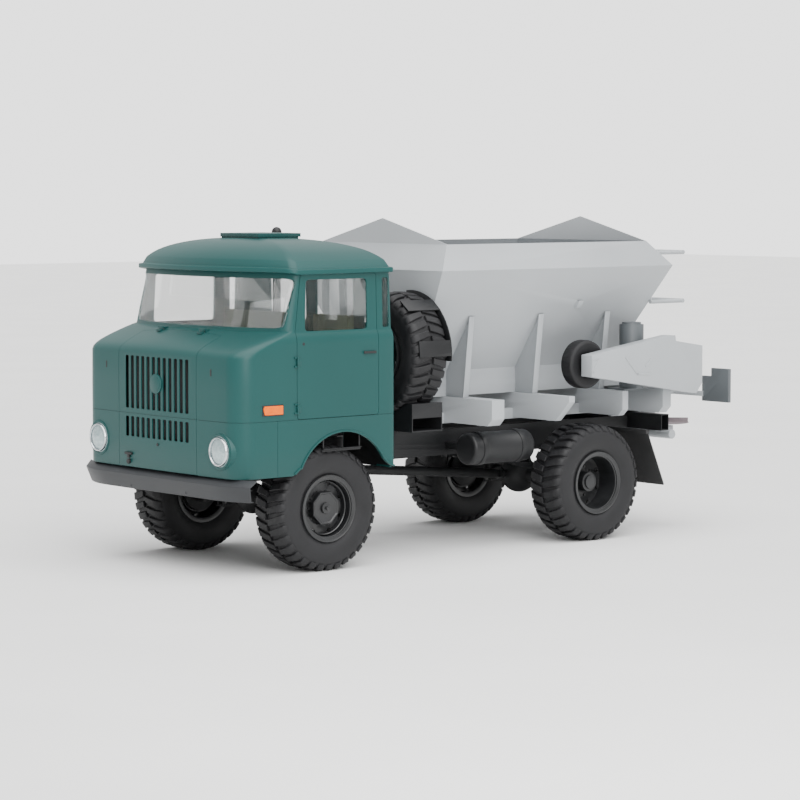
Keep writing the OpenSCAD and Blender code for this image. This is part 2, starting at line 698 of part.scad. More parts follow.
// The wheel arch in the cab's skirt, as an outline in X and Z.
function arch_outline() = concat([[fx(448), cab_z0 - 10], [fx(410), cab_z0 + 12], [fx(357), cab_z0 + 56]],
    arc_points([fx(-119), 692], 507, 25, 150, 16), [[fx(-680), cab_z0 + 26], [fx(-cab_back - 20), cab_z0 + 8], [fx(-cab_back - 20), cab_z0 - 10]]);

lamp_y = cab_w / 2 - 250;
lamp_z = 1075;
lamp_front = fx(cab_nose - 10);

module cab_body() color("#3d716c") {
    difference() {
        cab_shell();
        both_sides() {
            side_plate(door_outline(door_gap), 900, cab_w);
            side_plate(arch_outline(), cab_w / 2 - 60, cab_w);
            side_plate([[fx(-642), ledge_z + 12], [fx(-572), ledge_z + 12], [fx(-572), cab_top - 68], [fx(-642), cab_top - 68]], 900, cab_w);
            block([fx(-cab_back - 60), 70, ledge_z + 26], [fx(-600), 600, cab_top - 90]);
            rod_x(lamp_r + slip, fx(600), fx(cab_nose + 60), lamp_y, lamp_z);
        }
        block([fx(-cab_back - 20), -frame_half - 40, cab_z0 - 1], [fx(60 - cab_back), frame_half + 40, rail_top + 45]);
        side_plate(windscreen_outline(0), -cab_w, cab_w);
        block([flap_hinge_x - 1, -flap_half - door_gap, cab_z0 - 1], [fx(cab_nose + 60), flap_half + door_gap, ledge_z + 2]);
    }
    both_sides() for (z = door_hinges) {
        translate([door_front, door_hinge_y, z]) hinge_ears();
        for (s = [-1, 1]) translate([0, 0, z + s * (hinge_len / 2 + hinge_ear / 2 + slip)])
            block([door_front + 3, cab_w / 2 - 4, -hinge_ear / 2], [door_front + 32, door_hinge_y, hinge_ear / 2]);
    }
    for (y = flap_hinges) {
        translate([flap_hinge_x, y, flap_hinge_z]) rotate([90, 0, 0]) hinge_ears();
        for (s = [-1, 1]) translate([0, y + s * (hinge_len / 2 + hinge_ear / 2 + slip), 0])
            block([flap_hinge_x - 42, -hinge_ear / 2, ledge_z - cab_wall + 4], [flap_hinge_x - 3, hinge_ear / 2, flap_hinge_z + 4]);
    }
}

roof_wall = 25;

module roof_dome(t) hull() {
    level(roof_plan, 45 + t, cab_top + 42);
    level(roof_plan, 120 + t, cab_top + roof_h * 0.65 - t * 0.6);
    level(roof_plan, 300 + t, cab_top + roof_h * 0.92 - t * 0.9);
    level(roof_plan, 480 + t, cab_top + roof_h - t);
}

module cab_roof() color("#3d716c") {
    difference() {
        union() {
            translate([0, 0, cab_top]) linear_extrude(42) polygon(plan(roof_plan, 0));
            roof_dome(0);
            block([hatch_x0 + 20, 8 - hatch_half, cab_top + roof_h - 30], [hatch_x1 - 8, hatch_half - 8, hatch_z - 6]);
        }
        roof_dome(roof_wall);
        translate([0, 0, cab_top - 1]) linear_extrude(42) polygon(plan(roof_plan, 80));
        block([hatch_x0 + 32, 20 - hatch_half, cab_top], [hatch_x1 - 20, hatch_half - 20, hatch_z + 1]);
    }
    for (y = hatch_hinges) {
        translate([hatch_hinge_x, y, hatch_z]) rotate([90, 0, 0]) hinge_ears();
        for (s = [-1, 1]) translate([0, y + s * (hinge_len / 2 + hinge_ear / 2 + slip), 0])
            block([hatch_hinge_x - 8, -hinge_ear / 2, cab_top + roof_h - 50], [hatch_hinge_x + 2, hinge_ear / 2, hatch_z]);
    }
}

module roof_hatch() color("#3d716c") difference() {
    union() {
        block([hatch_x0, -hatch_half, hatch_z - 6 + slip], [hatch_x1, hatch_half, hatch_z + 12]);
        difference() {
            block([hatch_x0, -hatch_half, cab_top + roof_h + 6], [hatch_x1, hatch_half, hatch_z]);
            block([hatch_x0 + 6, 6 - hatch_half, cab_top], [hatch_x1 - 6, hatch_half - 6, hatch_z + 1]);
        }
        for (y = hatch_hinges) {
            translate([hatch_hinge_x, y, hatch_z]) rotate([90, 0, 0]) hinge_knuckle();
            block([hatch_hinge_x, y - hinge_len / 2, hatch_z], [hatch_x0 + 2, y + hinge_len / 2, hatch_z + hinge_r]);
        }
    }
    for (y = hatch_hinges) translate([hatch_hinge_x, y, hatch_z]) rotate([90, 0, 0]) hinge_bore();
}

floor_z = 1205;
floor_t = 20;

module cab_floor() color("#26272a") {
    intersection() {
        translate([0, 0, floor_z]) linear_extrude(floor_t) polygon(plan(low_plan, cab_wall));
        block([fx(-cab_back), -cab_w, floor_z - 1], [fx(cab_nose - 200), cab_w, floor_z + floor_t + 1]);
    }
    both_sides() for (x = [fx(620), fx(-600)])
        block([x - 50, frame_half - 65, rail_top], [x + 50, frame_half - 5, floor_z]);
}

glass_in = 8;
glass_t = 6;

module glass_layer() difference() {
    cab_form(glass_in);
    cab_form(glass_in + glass_t);
}

module windscreen() color("#9fb4b8", 0.35) intersection() {
    glass_layer();
    side_plate(windscreen_outline(glass_gap), -cab_w, cab_w);
}

module rear_windows() color("#9fb4b8", 0.35) intersection() {
    glass_layer();
    both_sides() {
        block([fx(-cab_back - 60), 70 + glass_gap, ledge_z + 26 + glass_gap], [fx(-600), 600 - glass_gap, cab_top - 90 - glass_gap]);
        side_plate([[fx(-642) + glass_gap, ledge_z + 12 + glass_gap], [fx(-572) - glass_gap, ledge_z + 12 + glass_gap],
                    [fx(-572) - glass_gap, cab_top - 68 - glass_gap], [fx(-642) + glass_gap, cab_top - 68 - glass_gap]], 900, cab_w);
    }
}

module door_skin() difference() {
    union() {
        intersection() {
            cab_shell();
            difference() {
                side_plate(door_outline(0), 900, cab_w);
                side_plate(door_window(0), 899, cab_w + 1);
            }
        }
        for (z = door_hinges) {
            translate([door_front, door_hinge_y, z]) hinge_knuckle();
            block([door_front - 34, cab_w / 2 - 4, z - hinge_len / 2], [door_front, door_hinge_y - 1, z + hinge_len / 2]);
        }
        block([door_rear + 40, cab_w / 2 - 2, crease_z - 110], [door_rear + 170, cab_w / 2 + 14, crease_z - 88]);
    }
    for (z = door_hinges) translate([door_front, door_hinge_y, z]) hinge_bore();
}

module door_pane() intersection() {
    glass_layer();
    side_plate(door_window(glass_gap), 900, cab_w);
}

module door_left() color("#3d716c") door_skin();
module door_right() color("#3d716c") mirror([0, 1, 0]) door_skin();
module door_glass_left() color("#9fb4b8", 0.35) door_pane();
module door_glass_right() color("#9fb4b8", 0.35) mirror([0, 1, 0]) door_pane();

slot_pitch = 2 * 480 / grille_slots;
slot_w = slot_pitch * 0.45;
badge_r = 78;

module front_flap() color("#3d716c") difference() {
    union() {
        intersection() {
            cab_shell();
            block([flap_hinge_x + 3, -flap_half, cab_z0 + 3], [fx(cab_nose + 60), flap_half, ledge_z]);
        }
        for (y = flap_hinges) {
            translate([flap_hinge_x, y, flap_hinge_z]) rotate([90, 0, 0]) hinge_knuckle();
            block([flap_hinge_x + 2, y - hinge_len / 2, ledge_z - 34], [flap_hinge_x + 44, y + hinge_len / 2, flap_hinge_z - 2]);
        }
        rod_x(badge_r, fx(cab_nose - 6), fx(cab_nose + 10), 0, 1596);
    }
    for (i = [0 : grille_slots - 1]) let (y = (i - (grille_slots - 1) / 2) * slot_pitch) {
        if (abs(y) > badge_r + slot_w) block([fx(cab_nose - 80), y - slot_w / 2, 1366], [fx(cab_nose + 20), y + slot_w / 2, 1825]);
        block([fx(cab_nose - 80), y - slot_w / 2, 1120], [fx(cab_nose + 20), y + slot_w / 2, 1295]);
    }
    for (y = flap_hinges) translate([flap_hinge_x, y, flap_hinge_z]) rotate([90, 0, 0]) hinge_bore();
}

module headlamp_bowls() color("#3d716c") both_sides() translate([lamp_front, lamp_y, lamp_z]) rotate([0, -90, 0])
    rotate_extrude() polygon([[lamp_r - 20, 0], [lamp_r, 0], [lamp_r, 130], [lamp_r - 50, 175], [0, 175], [0, 165],
                              [lamp_r - 56, 165], [lamp_r - 20, 125]]);

module headlamp_lenses() color("#dfe3e6") both_sides() translate([lamp_front, lamp_y, lamp_z]) rotate([0, -90, 0])
    rotate_extrude() polygon(concat([[0, -14], [70, -10], [lamp_r - 20 - glass_gap, 0], [lamp_r - 20 - glass_gap, 8], [0, 8]]));

module side_indicators() color("#ff9a14") both_sides()
    side_plate([[fx(544), 1380], [fx(735), 1380], [fx(749), 1430], [fx(738), 1455], [fx(544), 1455]], cab_w / 2, cab_w / 2 + 12);

// ---------- inside the cab ----------

wheel_centre = [fx(150), 500, 1940];
column_tilt = 20;
column_len = 725;

module at_column() translate(wheel_centre) rotate([0, -column_tilt, 0]) children();

module dashboard() color("#232426") {
    intersection() {
        cab_form(cab_wall + slip);
        block([fx(405), -cab_w, 1720], [fx(680), cab_w, ledge_z - 34]);
    }
    at_column() {
        rod_z(28, -column_len, -60, 0, 0);
        rod_z(11, -60, 14, 0, 0);
    }
    foot = wheel_centre[0] + column_len * sin(column_tilt);
    block([foot - 70, wheel_centre[1] - 60, floor_z + floor_t], [foot + 50, wheel_centre[1] + 60, floor_z + floor_t + 60]);
    block([wheel_centre[0] + 50, wheel_centre[1] - 32, 1735], [fx(430), wheel_centre[1] + 32, 1795]);
}

module steering_wheel() color("#1d1e20") at_column() difference() {
    union() {
        rotate_extrude() translate([steer_wheel_r - 15, 0]) circle(r = 15, $fn = 32);
        rod_z(38, -34, 16, 0, 0);
        for (i = [0 : 2]) rotate([0, 0, 90 + i * 120]) block([30, -14, -10], [steer_wheel_r - 16, 14, 2]);
    }
    rod_z(11 + fit, -40, 14.5, 0, 0);
}

module seat(y0, y1) {
    base = floor_z + floor_t;
    block([fx(-420), y0 + 40, base], [fx(0), y1 - 40, base + 240]);
    translate([0, y1, 0]) rotate([90, 0, 0]) linear_extrude(y1 - y0) polygon(concat(
        arc_points([fx(40), base + 300], 60, -90, 90), arc_points([fx(-400), base + 420], 60, -90, -180),
        arc_points([fx(-500), base + 900], 50, 0, 180), arc_points([fx(-460), base + 330], 90, 180, 270)));
}

module driver_seat() color("#5d6247") seat(270, 760);

module passenger_bench() color("#5d6247") seat(-1040, -160);

// ---------- body subframe and hopper ----------

longeron_y0 = trough_half - 80;
longeron_z0 = 1125;
longeron_z1 = 1225;
subframe_rear = rx(-1240);
outrigger_z0 = 1138;
outrigger_end = 1030;
drum_rear_x = rx(-1150);
drum_front_x = fx(-1650);
drum_z = trough_z0 + 127;
trough_front = fx(-1540);
trough_rear = rx(-1405);
funnel_rear = rx(-770);
wide_front = fx(-1306);
wide_rear = rx(-996);
rim_front = fx(-1497);
rim_rear = rx(-805);
first_rib = fx(-1890);
last_rib = rx(-400);
rib_xs = [first_rib, (first_rib + last_rib) / 2, last_rib];
rib_t = 8;
rib_flange = 64;
rib_foot_y = 700;
rib_top_y = 785;
rib_top_z = 2112;

function wall_y(z) = trough_half + (hopper_half - trough_half) * (z - trough_z1) / (wide_z - trough_z1);

// A cross beam from side to side, with a bevel at each end.
module outrigger(x0, x1, end, bevel) cross_plate([
    [-end, outrigger_z0 + bevel], [bevel - end, outrigger_z0], [end - bevel, outrigger_z0],
    [end, outrigger_z0 + bevel], [end, trough_z0], [-end, trough_z0]], x0, x1);

module subframe() color("#a9adaf") {
    both_sides() {
        block([subframe_rear, longeron_y0, longeron_z0], [trough_front, trough_half, longeron_z1]);
        for (x = [trough_front - 90, fx(-2400), rx(-80), rx(-900)])
            block([x - 60, longeron_y0, rail_top], [x + 60, frame_half, longeron_z0]);
        difference() {
            block([drum_rear_x - 60, outrigger_end - 45, trough_z0 - 40], [rx(-905), outrigger_end - 30, drum_z + 60]);
            rod_y(shaft_r + fit, outrigger_end - 50, outrigger_end, drum_rear_x, drum_z);
        }
    }
    outrigger(first_rib - 118, first_rib + rib_flange / 2, 1100, 60);
    outrigger(rib_xs[1] - 42, rib_xs[1] + rib_flange / 2, 1200, 180);
    outrigger(last_rib - 42, last_rib + rib_flange / 2, outrigger_end, 60);
    outrigger(rx(-1015), rx(-905), outrigger_end, 60);
}

// A thin rectangular layer of the hopper, drawn in by t, with its upper face at z.
module hopper_level(front, back, half, t, z) block([back + t, t - half, z - film], [front - t, half - t, z]);

module hopper_form(t) {
    hull() {
        hopper_level(trough_front, funnel_rear, trough_half, t, trough_z1 + film);
        hopper_level(wide_front, wide_rear, hopper_half, t, wide_z);
    }
    hull() {
        hopper_level(wide_front, wide_rear, hopper_half, t, wide_z);
        hopper_level(rim_front, rim_rear, rim_half, t, rim_z + (t > 0 ? 1 : 0));
    }
}

gate_half = 310;
gate_h = 270;
gate_t = 12;
guide_h = 480;
gate_lean = atan((funnel_rear - wide_rear) / (wide_z - trough_z1));

// Places children on the rear wall: local Z runs up the wall and local -X points out of it.
module on_rear_wall() translate([funnel_rear, 0, trough_z1]) rotate([0, -gate_lean, 0]) children();

module step_iron(z, x_wall) {
    reach = rx(-1336);
    for (y = [450, 850]) rod_x(20, reach, x_wall, y, z);
    rod_y(20, 430, 870, reach, z);
}

module hopper() color("#b4b8ba") {
    difference() {
        union() {
            hopper_form(0);
            // trough sides, with the front end plate between them
            block([trough_rear, -trough_half, trough_z0], [trough_front, trough_half, trough_z1]);
        }
        hopper_form(hopper_wall);
        block([trough_rear - 1, hopper_wall - trough_half, trough_z0 - 1], [trough_front - hopper_wall, trough_half - hopper_wall, trough_z1 + 3]);
        on_rear_wall() block([-10, -290, 12], [60, 290, 200]);
        for (x = [drum_front_x, drum_rear_x]) rod_y(shaft_r + fit, -hopper_half, hopper_half, x, drum_z);
    }
    for (x = [rim_front - hopper_wall, rim_rear])
        cross_plate([[-rim_half, rim_z], [rim_half, rim_z], [0, gable_z]], x, x + hopper_wall);
    on_rear_wall() both_sides() {
        block([-20, gate_half + slip, 8], [1, gate_half + 22, guide_h]);
        block([-20, gate_half - 14, 8], [-gate_t - 2 * slip, gate_half + 22, guide_h]);
    }
    both_sides() step_iron(2190, rx(-906));
    both_sides() step_iron(2655, rx(-896));
    both_sides() cross_plate([[wall_y(2225) - 6, 2225], [wall_y(2160) - 6, 2160], [wall_y(2160) + 44, 2160], [wall_y(2225) + 34, 2225]], rx(0), rx(60));
}

module hopper_ribs() color("#b4b8ba") both_sides() for (x = rib_xs) {
    cross_plate([[trough_half + slip, trough_z0], [rib_foot_y, trough_z0], [rib_top_y, rib_top_z], [wall_y(rib_top_z) + slip, rib_top_z],
                 [trough_half + slip, trough_z1 - 2]], x - rib_t / 2, x + rib_t / 2);
    cross_plate([[rib_foot_y, trough_z0], [rib_foot_y + 10, trough_z0], [rib_top_y + 10, rib_top_z], [rib_top_y, rib_top_z]],
                x - rib_flange / 2, x + rib_flange / 2);
}

// ---------- conveyor ----------

belt_half = trough_half - 24;
belt_in = drum_r + 0.3;

module belt_loop(r, half) {
    for (x = [drum_front_x, drum_rear_x]) rod_y(r, -half, half, x, drum_z);
    block([drum_rear_x, -half, drum_z - r], [drum_front_x, half, drum_z + r]);
}

module conveyor_belt() color("#2a2a2b") difference() {
    belt_loop(drum_r + belt_t, belt_half);
    belt_loop(belt_in, belt_half + 1);
}

module drum(x) {
    rod_y(drum_r, -belt_half, belt_half, x, drum_z);
    rod_y(shaft_r, -trough_half - 30, trough_half + 30, x, drum_z);
}

module drum_front() color("#8b8f92") drum(drum_front_x);

module metering_gate() color("#9da1a4") on_rear_wall() {
    block([-gate_t - slip, -gate_half, 8], [-slip, gate_half, gate_h]);
    block([-60, -70, gate_h - 40], [-gate_t, 70, gate_h - 22]);
}

// ---------- friction drive ----------

case_y0 = outrigger_end + 15;
case_t = 6;
friction_x = rx(70);
friction_z = 1640;
friction_y1 = case_y0 - 25;
sprocket_pitch = 31.75;
function sprocket_r(teeth) = sprocket_pitch / (2 * sin(180 / teeth));
case_outline = [
    [rx(184), 1735], [rx(-860), 1883], [rx(-910), 1883], [rx(-920), 1830], [rx(-1280), 1775], [rx(-1280), 1420], [rx(-1200), 1322],
    [rx(184), 1537]
];

module drum_rear() color("#8b8f92") {
    drum(drum_rear_x);
    rod_y(shaft_r, 0, case_y0 + case_w - 20, drum_rear_x, drum_z);
    rod_y(sprocket_r(large_teeth) - 4, case_y0 + 60, case_y0 + 74, drum_rear_x, drum_z);
}

module chain_case() color("#b4b8ba") difference() {
    union() {
        side_plate(case_outline, case_y0, case_y0 + case_w);
        rod_y(shaft_r + 22, outrigger_end - 28, case_y0 + 1, drum_rear_x, drum_z);
    }
    side_plate(inset_points(case_outline, case_t), case_y0 + case_t, case_y0 + case_w - case_t);
    rod_y(shaft_r + fit, outrigger_end - 40, case_y0 + case_t + 1, drum_rear_x, drum_z);
    rod_y(20 + fit, case_y0 - 1, case_y0 + case_t + 1, friction_x, friction_z);
}

module friction_wheel() color("#1d1e20") {
    translate([friction_x, friction_y1 - friction_w / 2, friction_z]) turned(let (r = friction_r, w = friction_w / 2) [
        [20, -w + 10], [r * 0.45, -w + 30], [r * 0.5, -w + 6], [r - 30, -w], [r - 6, -w + 14], [r, -w + 34],
        [r, w - 34], [r - 6, w - 14], [r - 30, w], [r * 0.5, w - 6], [r * 0.45, w - 30], [20, w - 10]]);
    rod_y(20, friction_y1 - friction_w, case_y0 + case_w - 30, friction_x, friction_z);
    rod_y(sprocket_r(small_teeth) - 4, case_y0 + 60, case_y0 + 74, friction_x, friction_z);
}

oil_x = rx(-650);
oil_y = 860;
oil_r = 115;

module oil_tank() color("#a9adaf") {
    rod_z(oil_r, trough_z0 + 12, 1985, oil_x, oil_y);
    rod_z(oil_r - 25, 1985, 2005, oil_x, oil_y);
    block([rx(-1010), outrigger_end - 290, trough_z0], [last_rib - 42, outrigger_end - 60, trough_z0 + 12]);
}

// ---------- spinners ----------

disc_x = rx(-1450);
disc_z = 985;
disc_t2 = 6;
spinner_shaft_r = 15;
tube_x = rx(-1270);
tube_z = 900;
gear_top = 958;

module drop_chute() color("#a9adaf") {
    x0 = rx(-1405);
    x1 = rx(-1245);
    difference() {
        block([x0, -trough_half, 1075], [x1, trough_half, trough_z0]);
        block([x0 + 6, 6 - trough_half, 1074], [x1 - 6, trough_half - 6, trough_z0 + 1]);
    }
    cross_plate([[-250, 1080], [0, 1330], [250, 1080], [240, 1080], [0, 1320], [-240, 1080]], x0 + 5, x1 - 5);
    both_sides() {
        block([x0 - 265, trough_half - 12, 1250], [x0, trough_half, 1300]);
        block([rx(10 - rear_overhang) , trough_half - 12, 1250], [x0 - 250, trough_half, 1300]);
        block([rx(35 - rear_overhang), trough_half - 12, 1250], [rx(47 - rear_overhang), 840, 1300]);
        cross_plate([[810, 1205], [1160, 1205], [1160, 1530], [930, 1530], [930, 1450], [810, 1450]], rx(-rear_overhang), rx(35 - rear_overhang));
    }
}

module spinner_drive() color("#8f9496") difference() {
    union() {
        rod_y(45, -800, 800, tube_x, tube_z);
        both_sides() {
            block([disc_x - 70, disc_y - 70, 850], [disc_x + 70, disc_y + 70, gear_top]);
            block([disc_x + 60, disc_y - 40, 870], [tube_x, disc_y + 40, 930]);
            block([rx(-1194), trough_half, 855], [rx(-1164), trough_half + 10, longeron_z1]);
            block([tube_x, trough_half, 865], [rx(-1164), trough_half + 10, 935]);
        }
    }
    both_sides() rod_z(spinner_shaft_r + fit, 880, gear_top + 1, disc_x, disc_y);
}

module spinner(side) translate([disc_x, side * disc_y, 0]) {
    rod_z(disc_r, disc_z, disc_z + disc_t2, 0, 0);
    rod_z(45, disc_z, disc_z + 45, 0, 0);
    rod_z(spinner_shaft_r, 890, disc_z + 1, 0, 0);
    for (i = [0 : disc_vanes - 1]) rotate([0, 0, 45 + i * 360 / disc_vanes]) block([40, -3, disc_z + disc_t2 - 1], [disc_r - 6, 3, disc_z + 50]);
}

module spinner_left() color("#75666c") spinner(1);
module spinner_right() color("#75666c") spinner(-1);

chassis_frame();
front_bumper();
engine();
gearbox();
radiator();
fuel_tank();
air_tanks();
air_intake();
front_axle();
rear_axle();
leaf_springs();
knuckle_left();
knuckle_right();
tie_rod();
propshaft_front();
propshaft_rear();
tyre_front_left();
rim_front_left();
tyre_front_right();
rim_front_right();
tyre_rear_left();
rim_rear_left();
tyre_rear_right();
rim_rear_right();
spare_carrier();
spare_tyre();
spare_rim();
mud_flaps();
cab_body();
cab_roof();
cab_floor();
windscreen();
rear_windows();
dashboard();
steering_wheel();
driver_seat();
passenger_bench();
door_left();
door_glass_left();
door_right();
door_glass_right();
roof_hatch();
front_flap();
headlamp_bowls();
headlamp_lenses();
side_indicators();
subframe();
hopper();
hopper_ribs();
conveyor_belt();
drum_front();
drum_rear();
metering_gate();
oil_tank();
chain_case();
friction_wheel();
drop_chute();
spinner_drive();
spinner_left();
spinner_right();
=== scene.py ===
import json
from math import atan, atan2, cos, hypot, pi, radians, sin, sqrt, tan

import bpy
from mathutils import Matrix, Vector

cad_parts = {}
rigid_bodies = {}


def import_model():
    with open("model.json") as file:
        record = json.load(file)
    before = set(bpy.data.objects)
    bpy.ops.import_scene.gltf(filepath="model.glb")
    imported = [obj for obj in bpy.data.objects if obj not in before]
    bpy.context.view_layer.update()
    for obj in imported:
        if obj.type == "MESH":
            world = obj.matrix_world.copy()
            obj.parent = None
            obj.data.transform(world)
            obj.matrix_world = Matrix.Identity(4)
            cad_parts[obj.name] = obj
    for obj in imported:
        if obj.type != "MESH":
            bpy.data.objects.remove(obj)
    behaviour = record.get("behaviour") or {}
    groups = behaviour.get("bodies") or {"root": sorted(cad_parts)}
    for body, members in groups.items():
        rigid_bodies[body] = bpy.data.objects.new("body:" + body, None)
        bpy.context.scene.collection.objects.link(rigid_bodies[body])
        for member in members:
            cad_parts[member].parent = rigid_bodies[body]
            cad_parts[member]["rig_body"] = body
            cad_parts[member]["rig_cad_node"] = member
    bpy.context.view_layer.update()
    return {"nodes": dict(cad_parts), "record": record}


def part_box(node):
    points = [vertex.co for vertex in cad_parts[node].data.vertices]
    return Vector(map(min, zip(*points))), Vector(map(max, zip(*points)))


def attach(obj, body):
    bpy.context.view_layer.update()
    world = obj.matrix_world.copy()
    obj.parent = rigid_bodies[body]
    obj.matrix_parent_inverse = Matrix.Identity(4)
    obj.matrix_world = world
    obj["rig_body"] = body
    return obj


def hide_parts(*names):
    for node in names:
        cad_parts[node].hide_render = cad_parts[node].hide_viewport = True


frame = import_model()

# ---------- Camera, floor and light ----------
# A pale sweep of paper under a wide overhead panel and one soft lamp, seen from the vehicle's front left.
# The long lens keeps the far wheels nearly as large as the near ones.

azimuth = radians(139.789)
elevation = radians(4.42)
camera_distance = 25.56
camera_target = Vector((0.221, 0, 1.321))
towards_camera = Vector((sin(azimuth) * cos(elevation), -cos(azimuth) * cos(elevation), sin(elevation)))

bpy.ops.object.select_all(action="DESELECT")
bpy.ops.object.camera_add(location=camera_target + towards_camera * camera_distance)
camera = bpy.context.object
camera.rotation_euler = towards_camera.to_track_quat("Z", "Y").to_euler()
camera.data.lens = 124.8
camera.data.clip_end = 200
bpy.context.scene.camera = camera


def soft_lamp(name, place, size, power):
    """A square diffuser that faces the middle of the vehicle."""
    bpy.ops.object.light_add(type="AREA", location=place)
    lamp = bpy.context.object
    lamp.name = name
    lamp.data.shape = "SQUARE"
    lamp.data.size = size
    lamp.data.energy = power
    lamp.rotation_euler = (Vector(place) - Vector((0, 0, 1.2))).to_track_quat("Z", "Y").to_euler()
    return lamp


soft_lamp("front_left_softbox", (6.0, 11.0, 5.5), 5.0, 560)

bpy.ops.object.light_add(type="SUN", location=(0, 0, 12), rotation=(radians(-20), radians(4), 0))
overhead = bpy.context.object
overhead.name = "overhead_panel"
overhead.data.energy = 5.2
overhead.data.angle = radians(80)


def linear(code):
    """An sRGB hex colour as the linear numbers that a shader takes."""
    parts = [int(code[i:i + 2], 16) / 255 for i in (1, 3, 5)]
    return [c / 12.92 if c <= 0.04045 else ((c + 0.055) / 1.055) ** 2.4 for c in parts] + [1]


def add(tree, kind, settings=(), links=()):
    """Adds a node, gives its sockets or properties their values, and feeds its sockets."""
    made = tree.nodes.new("ShaderNode" + kind)
    for key, value in dict(settings).items():
        if isinstance(key, int) or key in made.inputs:
            made.inputs[key].default_value = value
        else:
            setattr(made, key, value)
    for key, source in dict(links).items():
        tree.links.new(source, made.inputs[key])
    return made


def new_finish(name):
    """An empty material and its shader tree."""
    made = bpy.data.materials.new(name)
    made.use_nodes = True
    made.node_tree.nodes.clear()
    return made, made.node_tree


def grained(name, dark, light, spot, roughness, bump=0.0, grain=0.004, metallic=0.0, coat=0.0, shader=()):
    """A finish whose colour drifts from dark to light in spots, with a fine grain; both sizes in metres."""
    made, tree = new_finish(name)
    place = add(tree, "TexCoord").outputs["Object"]
    drift = add(tree, "TexNoise", {"Scale": 1 / spot, "Detail": 3}, {"Vector": place})
    fine = add(tree, "TexNoise", {"Scale": 1 / grain, "Detail": 2}, {"Vector": place})
    colour = add(tree, "ValToRGB", links={"Fac": drift.outputs["Fac"]})
    colour.color_ramp.elements[0].color = linear(dark)
    colour.color_ramp.elements[0].position = 0.3
    colour.color_ramp.elements[1].color = linear(light)
    colour.color_ramp.elements[1].position = 0.7
    polish = add(tree, "MapRange", {"From Min": 0.3, "From Max": 0.7, "To Min": roughness[0],
        "To Max": roughness[1]},
                 {"Value": drift.outputs["Fac"]})
    relief = add(tree, "Bump", {"Strength": bump, "Distance": grain / 2}, {"Height": fine.outputs["Fac"]})
    surface = add(tree, "BsdfPrincipled",
                  {"Metallic": metallic, "Coat Weight": coat, "Coat Roughness": 0.12, **dict(shader)},
                  {"Base Color": colour.outputs["Color"], "Roughness": polish.outputs["Result"],
                   "Normal": relief.outputs["Normal"]})
    add(tree, "OutputMaterial", links={"Surface": surface.outputs["BSDF"]})
    return made


# Seamless studio paper: matt, nearly white.
paper = grained("studio_paper", "#f4f4f3", "#f8f8f7", 2.0, (0.85, 0.95))

# The studio's walls are far off and pale; they light the vehicle less than they show behind it.
world = bpy.data.worlds.new("studio")
bpy.context.scene.world = world
world.use_nodes = True
walls = world.node_tree
rays = add(walls, "LightPath").outputs
lit = add(walls, "MapRange", {"To Min": 0.5, "To Max": 1.2},
    {"Value": rays["Is Glossy Ray"]}).outputs["Result"]
glow = add(walls, "MapRange", {"To Max": 2.4},
    {"Value": rays["Is Camera Ray"], "To Min": lit}).outputs["Result"]
walls.nodes["Background"].inputs["Color"].default_value = (1, 1, 1, 1)
walls.links.new(glow, walls.nodes["Background"].inputs["Strength"])

bpy.ops.mesh.primitive_plane_add(size=160, location=(0, 0, 0))
floor = bpy.context.object
floor.name = "paper_floor"
floor.data.materials.append(paper)


# ---------- Chassis frame ----------
# Two pressed steel channels joined by crossmembers, with spring hangers, a rear bar and a coupling plate.
# Welded and bolted, then sprayed satin black all over.

# Chassis enamel: an alkyd paint with a satin film that hides the steel; dust dulls it in patches.
dull_film = {"Specular IOR Level": 0.4}
chassis_enamel = grained("chassis_enamel", "#0d0e10", "#151618", 0.35, (0.42, 0.6), bump=0.08, grain=0.006,
                         shader=dull_film)


def only(piece):
    """Leaves this piece alone selected and active."""
    bpy.ops.object.select_all(action="DESELECT")
    piece.select_set(True)
    bpy.context.view_layer.objects.active = piece


def shaped(piece, kind, **settings):
    """Adds a modifier of that kind and applies it."""
    only(piece)
    modifier = piece.modifiers.new(kind.lower(), kind)
    for key, value in settings.items():
        setattr(modifier, key, value)
    bpy.ops.object.modifier_apply(modifier=modifier.name)
    return piece


def fitted(piece, name, finish, body, smooth=32, stands_for=()):
    """Names a finished piece, gives it its finish, and fixes it to the body that it rides on."""
    only(piece)
    bpy.ops.object.transform_apply(location=True, rotation=True, scale=True)
    bpy.ops.object.shade_smooth_by_angle(angle=radians(smooth))
    piece.name = name
    piece.data.materials.clear()
    piece.data.materials.append(finish)
    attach(piece, body)
    if stands_for:
        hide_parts(*stands_for)
    return piece


def copy_of_node(node):
    """A CAD node's own shape as a clean mesh of flat faces."""
    source = frame["nodes"][node]
    piece = source.copy()
    piece.data = source.data.copy()
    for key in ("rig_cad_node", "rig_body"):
        if key in piece:
            del piece[key]
    piece.parent = None
    bpy.context.scene.collection.objects.link(piece)
    only(piece)
    bpy.ops.object.mode_set(mode="EDIT")
    bpy.ops.mesh.select_all(action="SELECT")
    bpy.ops.mesh.remove_doubles(threshold=0.00002)
    bpy.ops.mesh.dissolve_limited(angle_limit=radians(0.8))
    bpy.ops.object.mode_set(mode="OBJECT")
    return piece


def eased(node, finish, width=0.003, name="", smooth=32):
    """A node with its sharp edges broken, as a brake press, a file or a casting's fillet leaves them."""
    piece = copy_of_node(node)
    shaped(piece, "BEVEL", width=width, segments=2, limit_method="ANGLE", angle_limit=radians(28),
        harden_normals=False)
    body = next(b for b, nodes in frame["record"]["behaviour"]["bodies"].items() if node in nodes)
    return fitted(piece, name or node + "_eased", finish, body, smooth, [node])


eased("chassis_frame", chassis_enamel, 0.004)


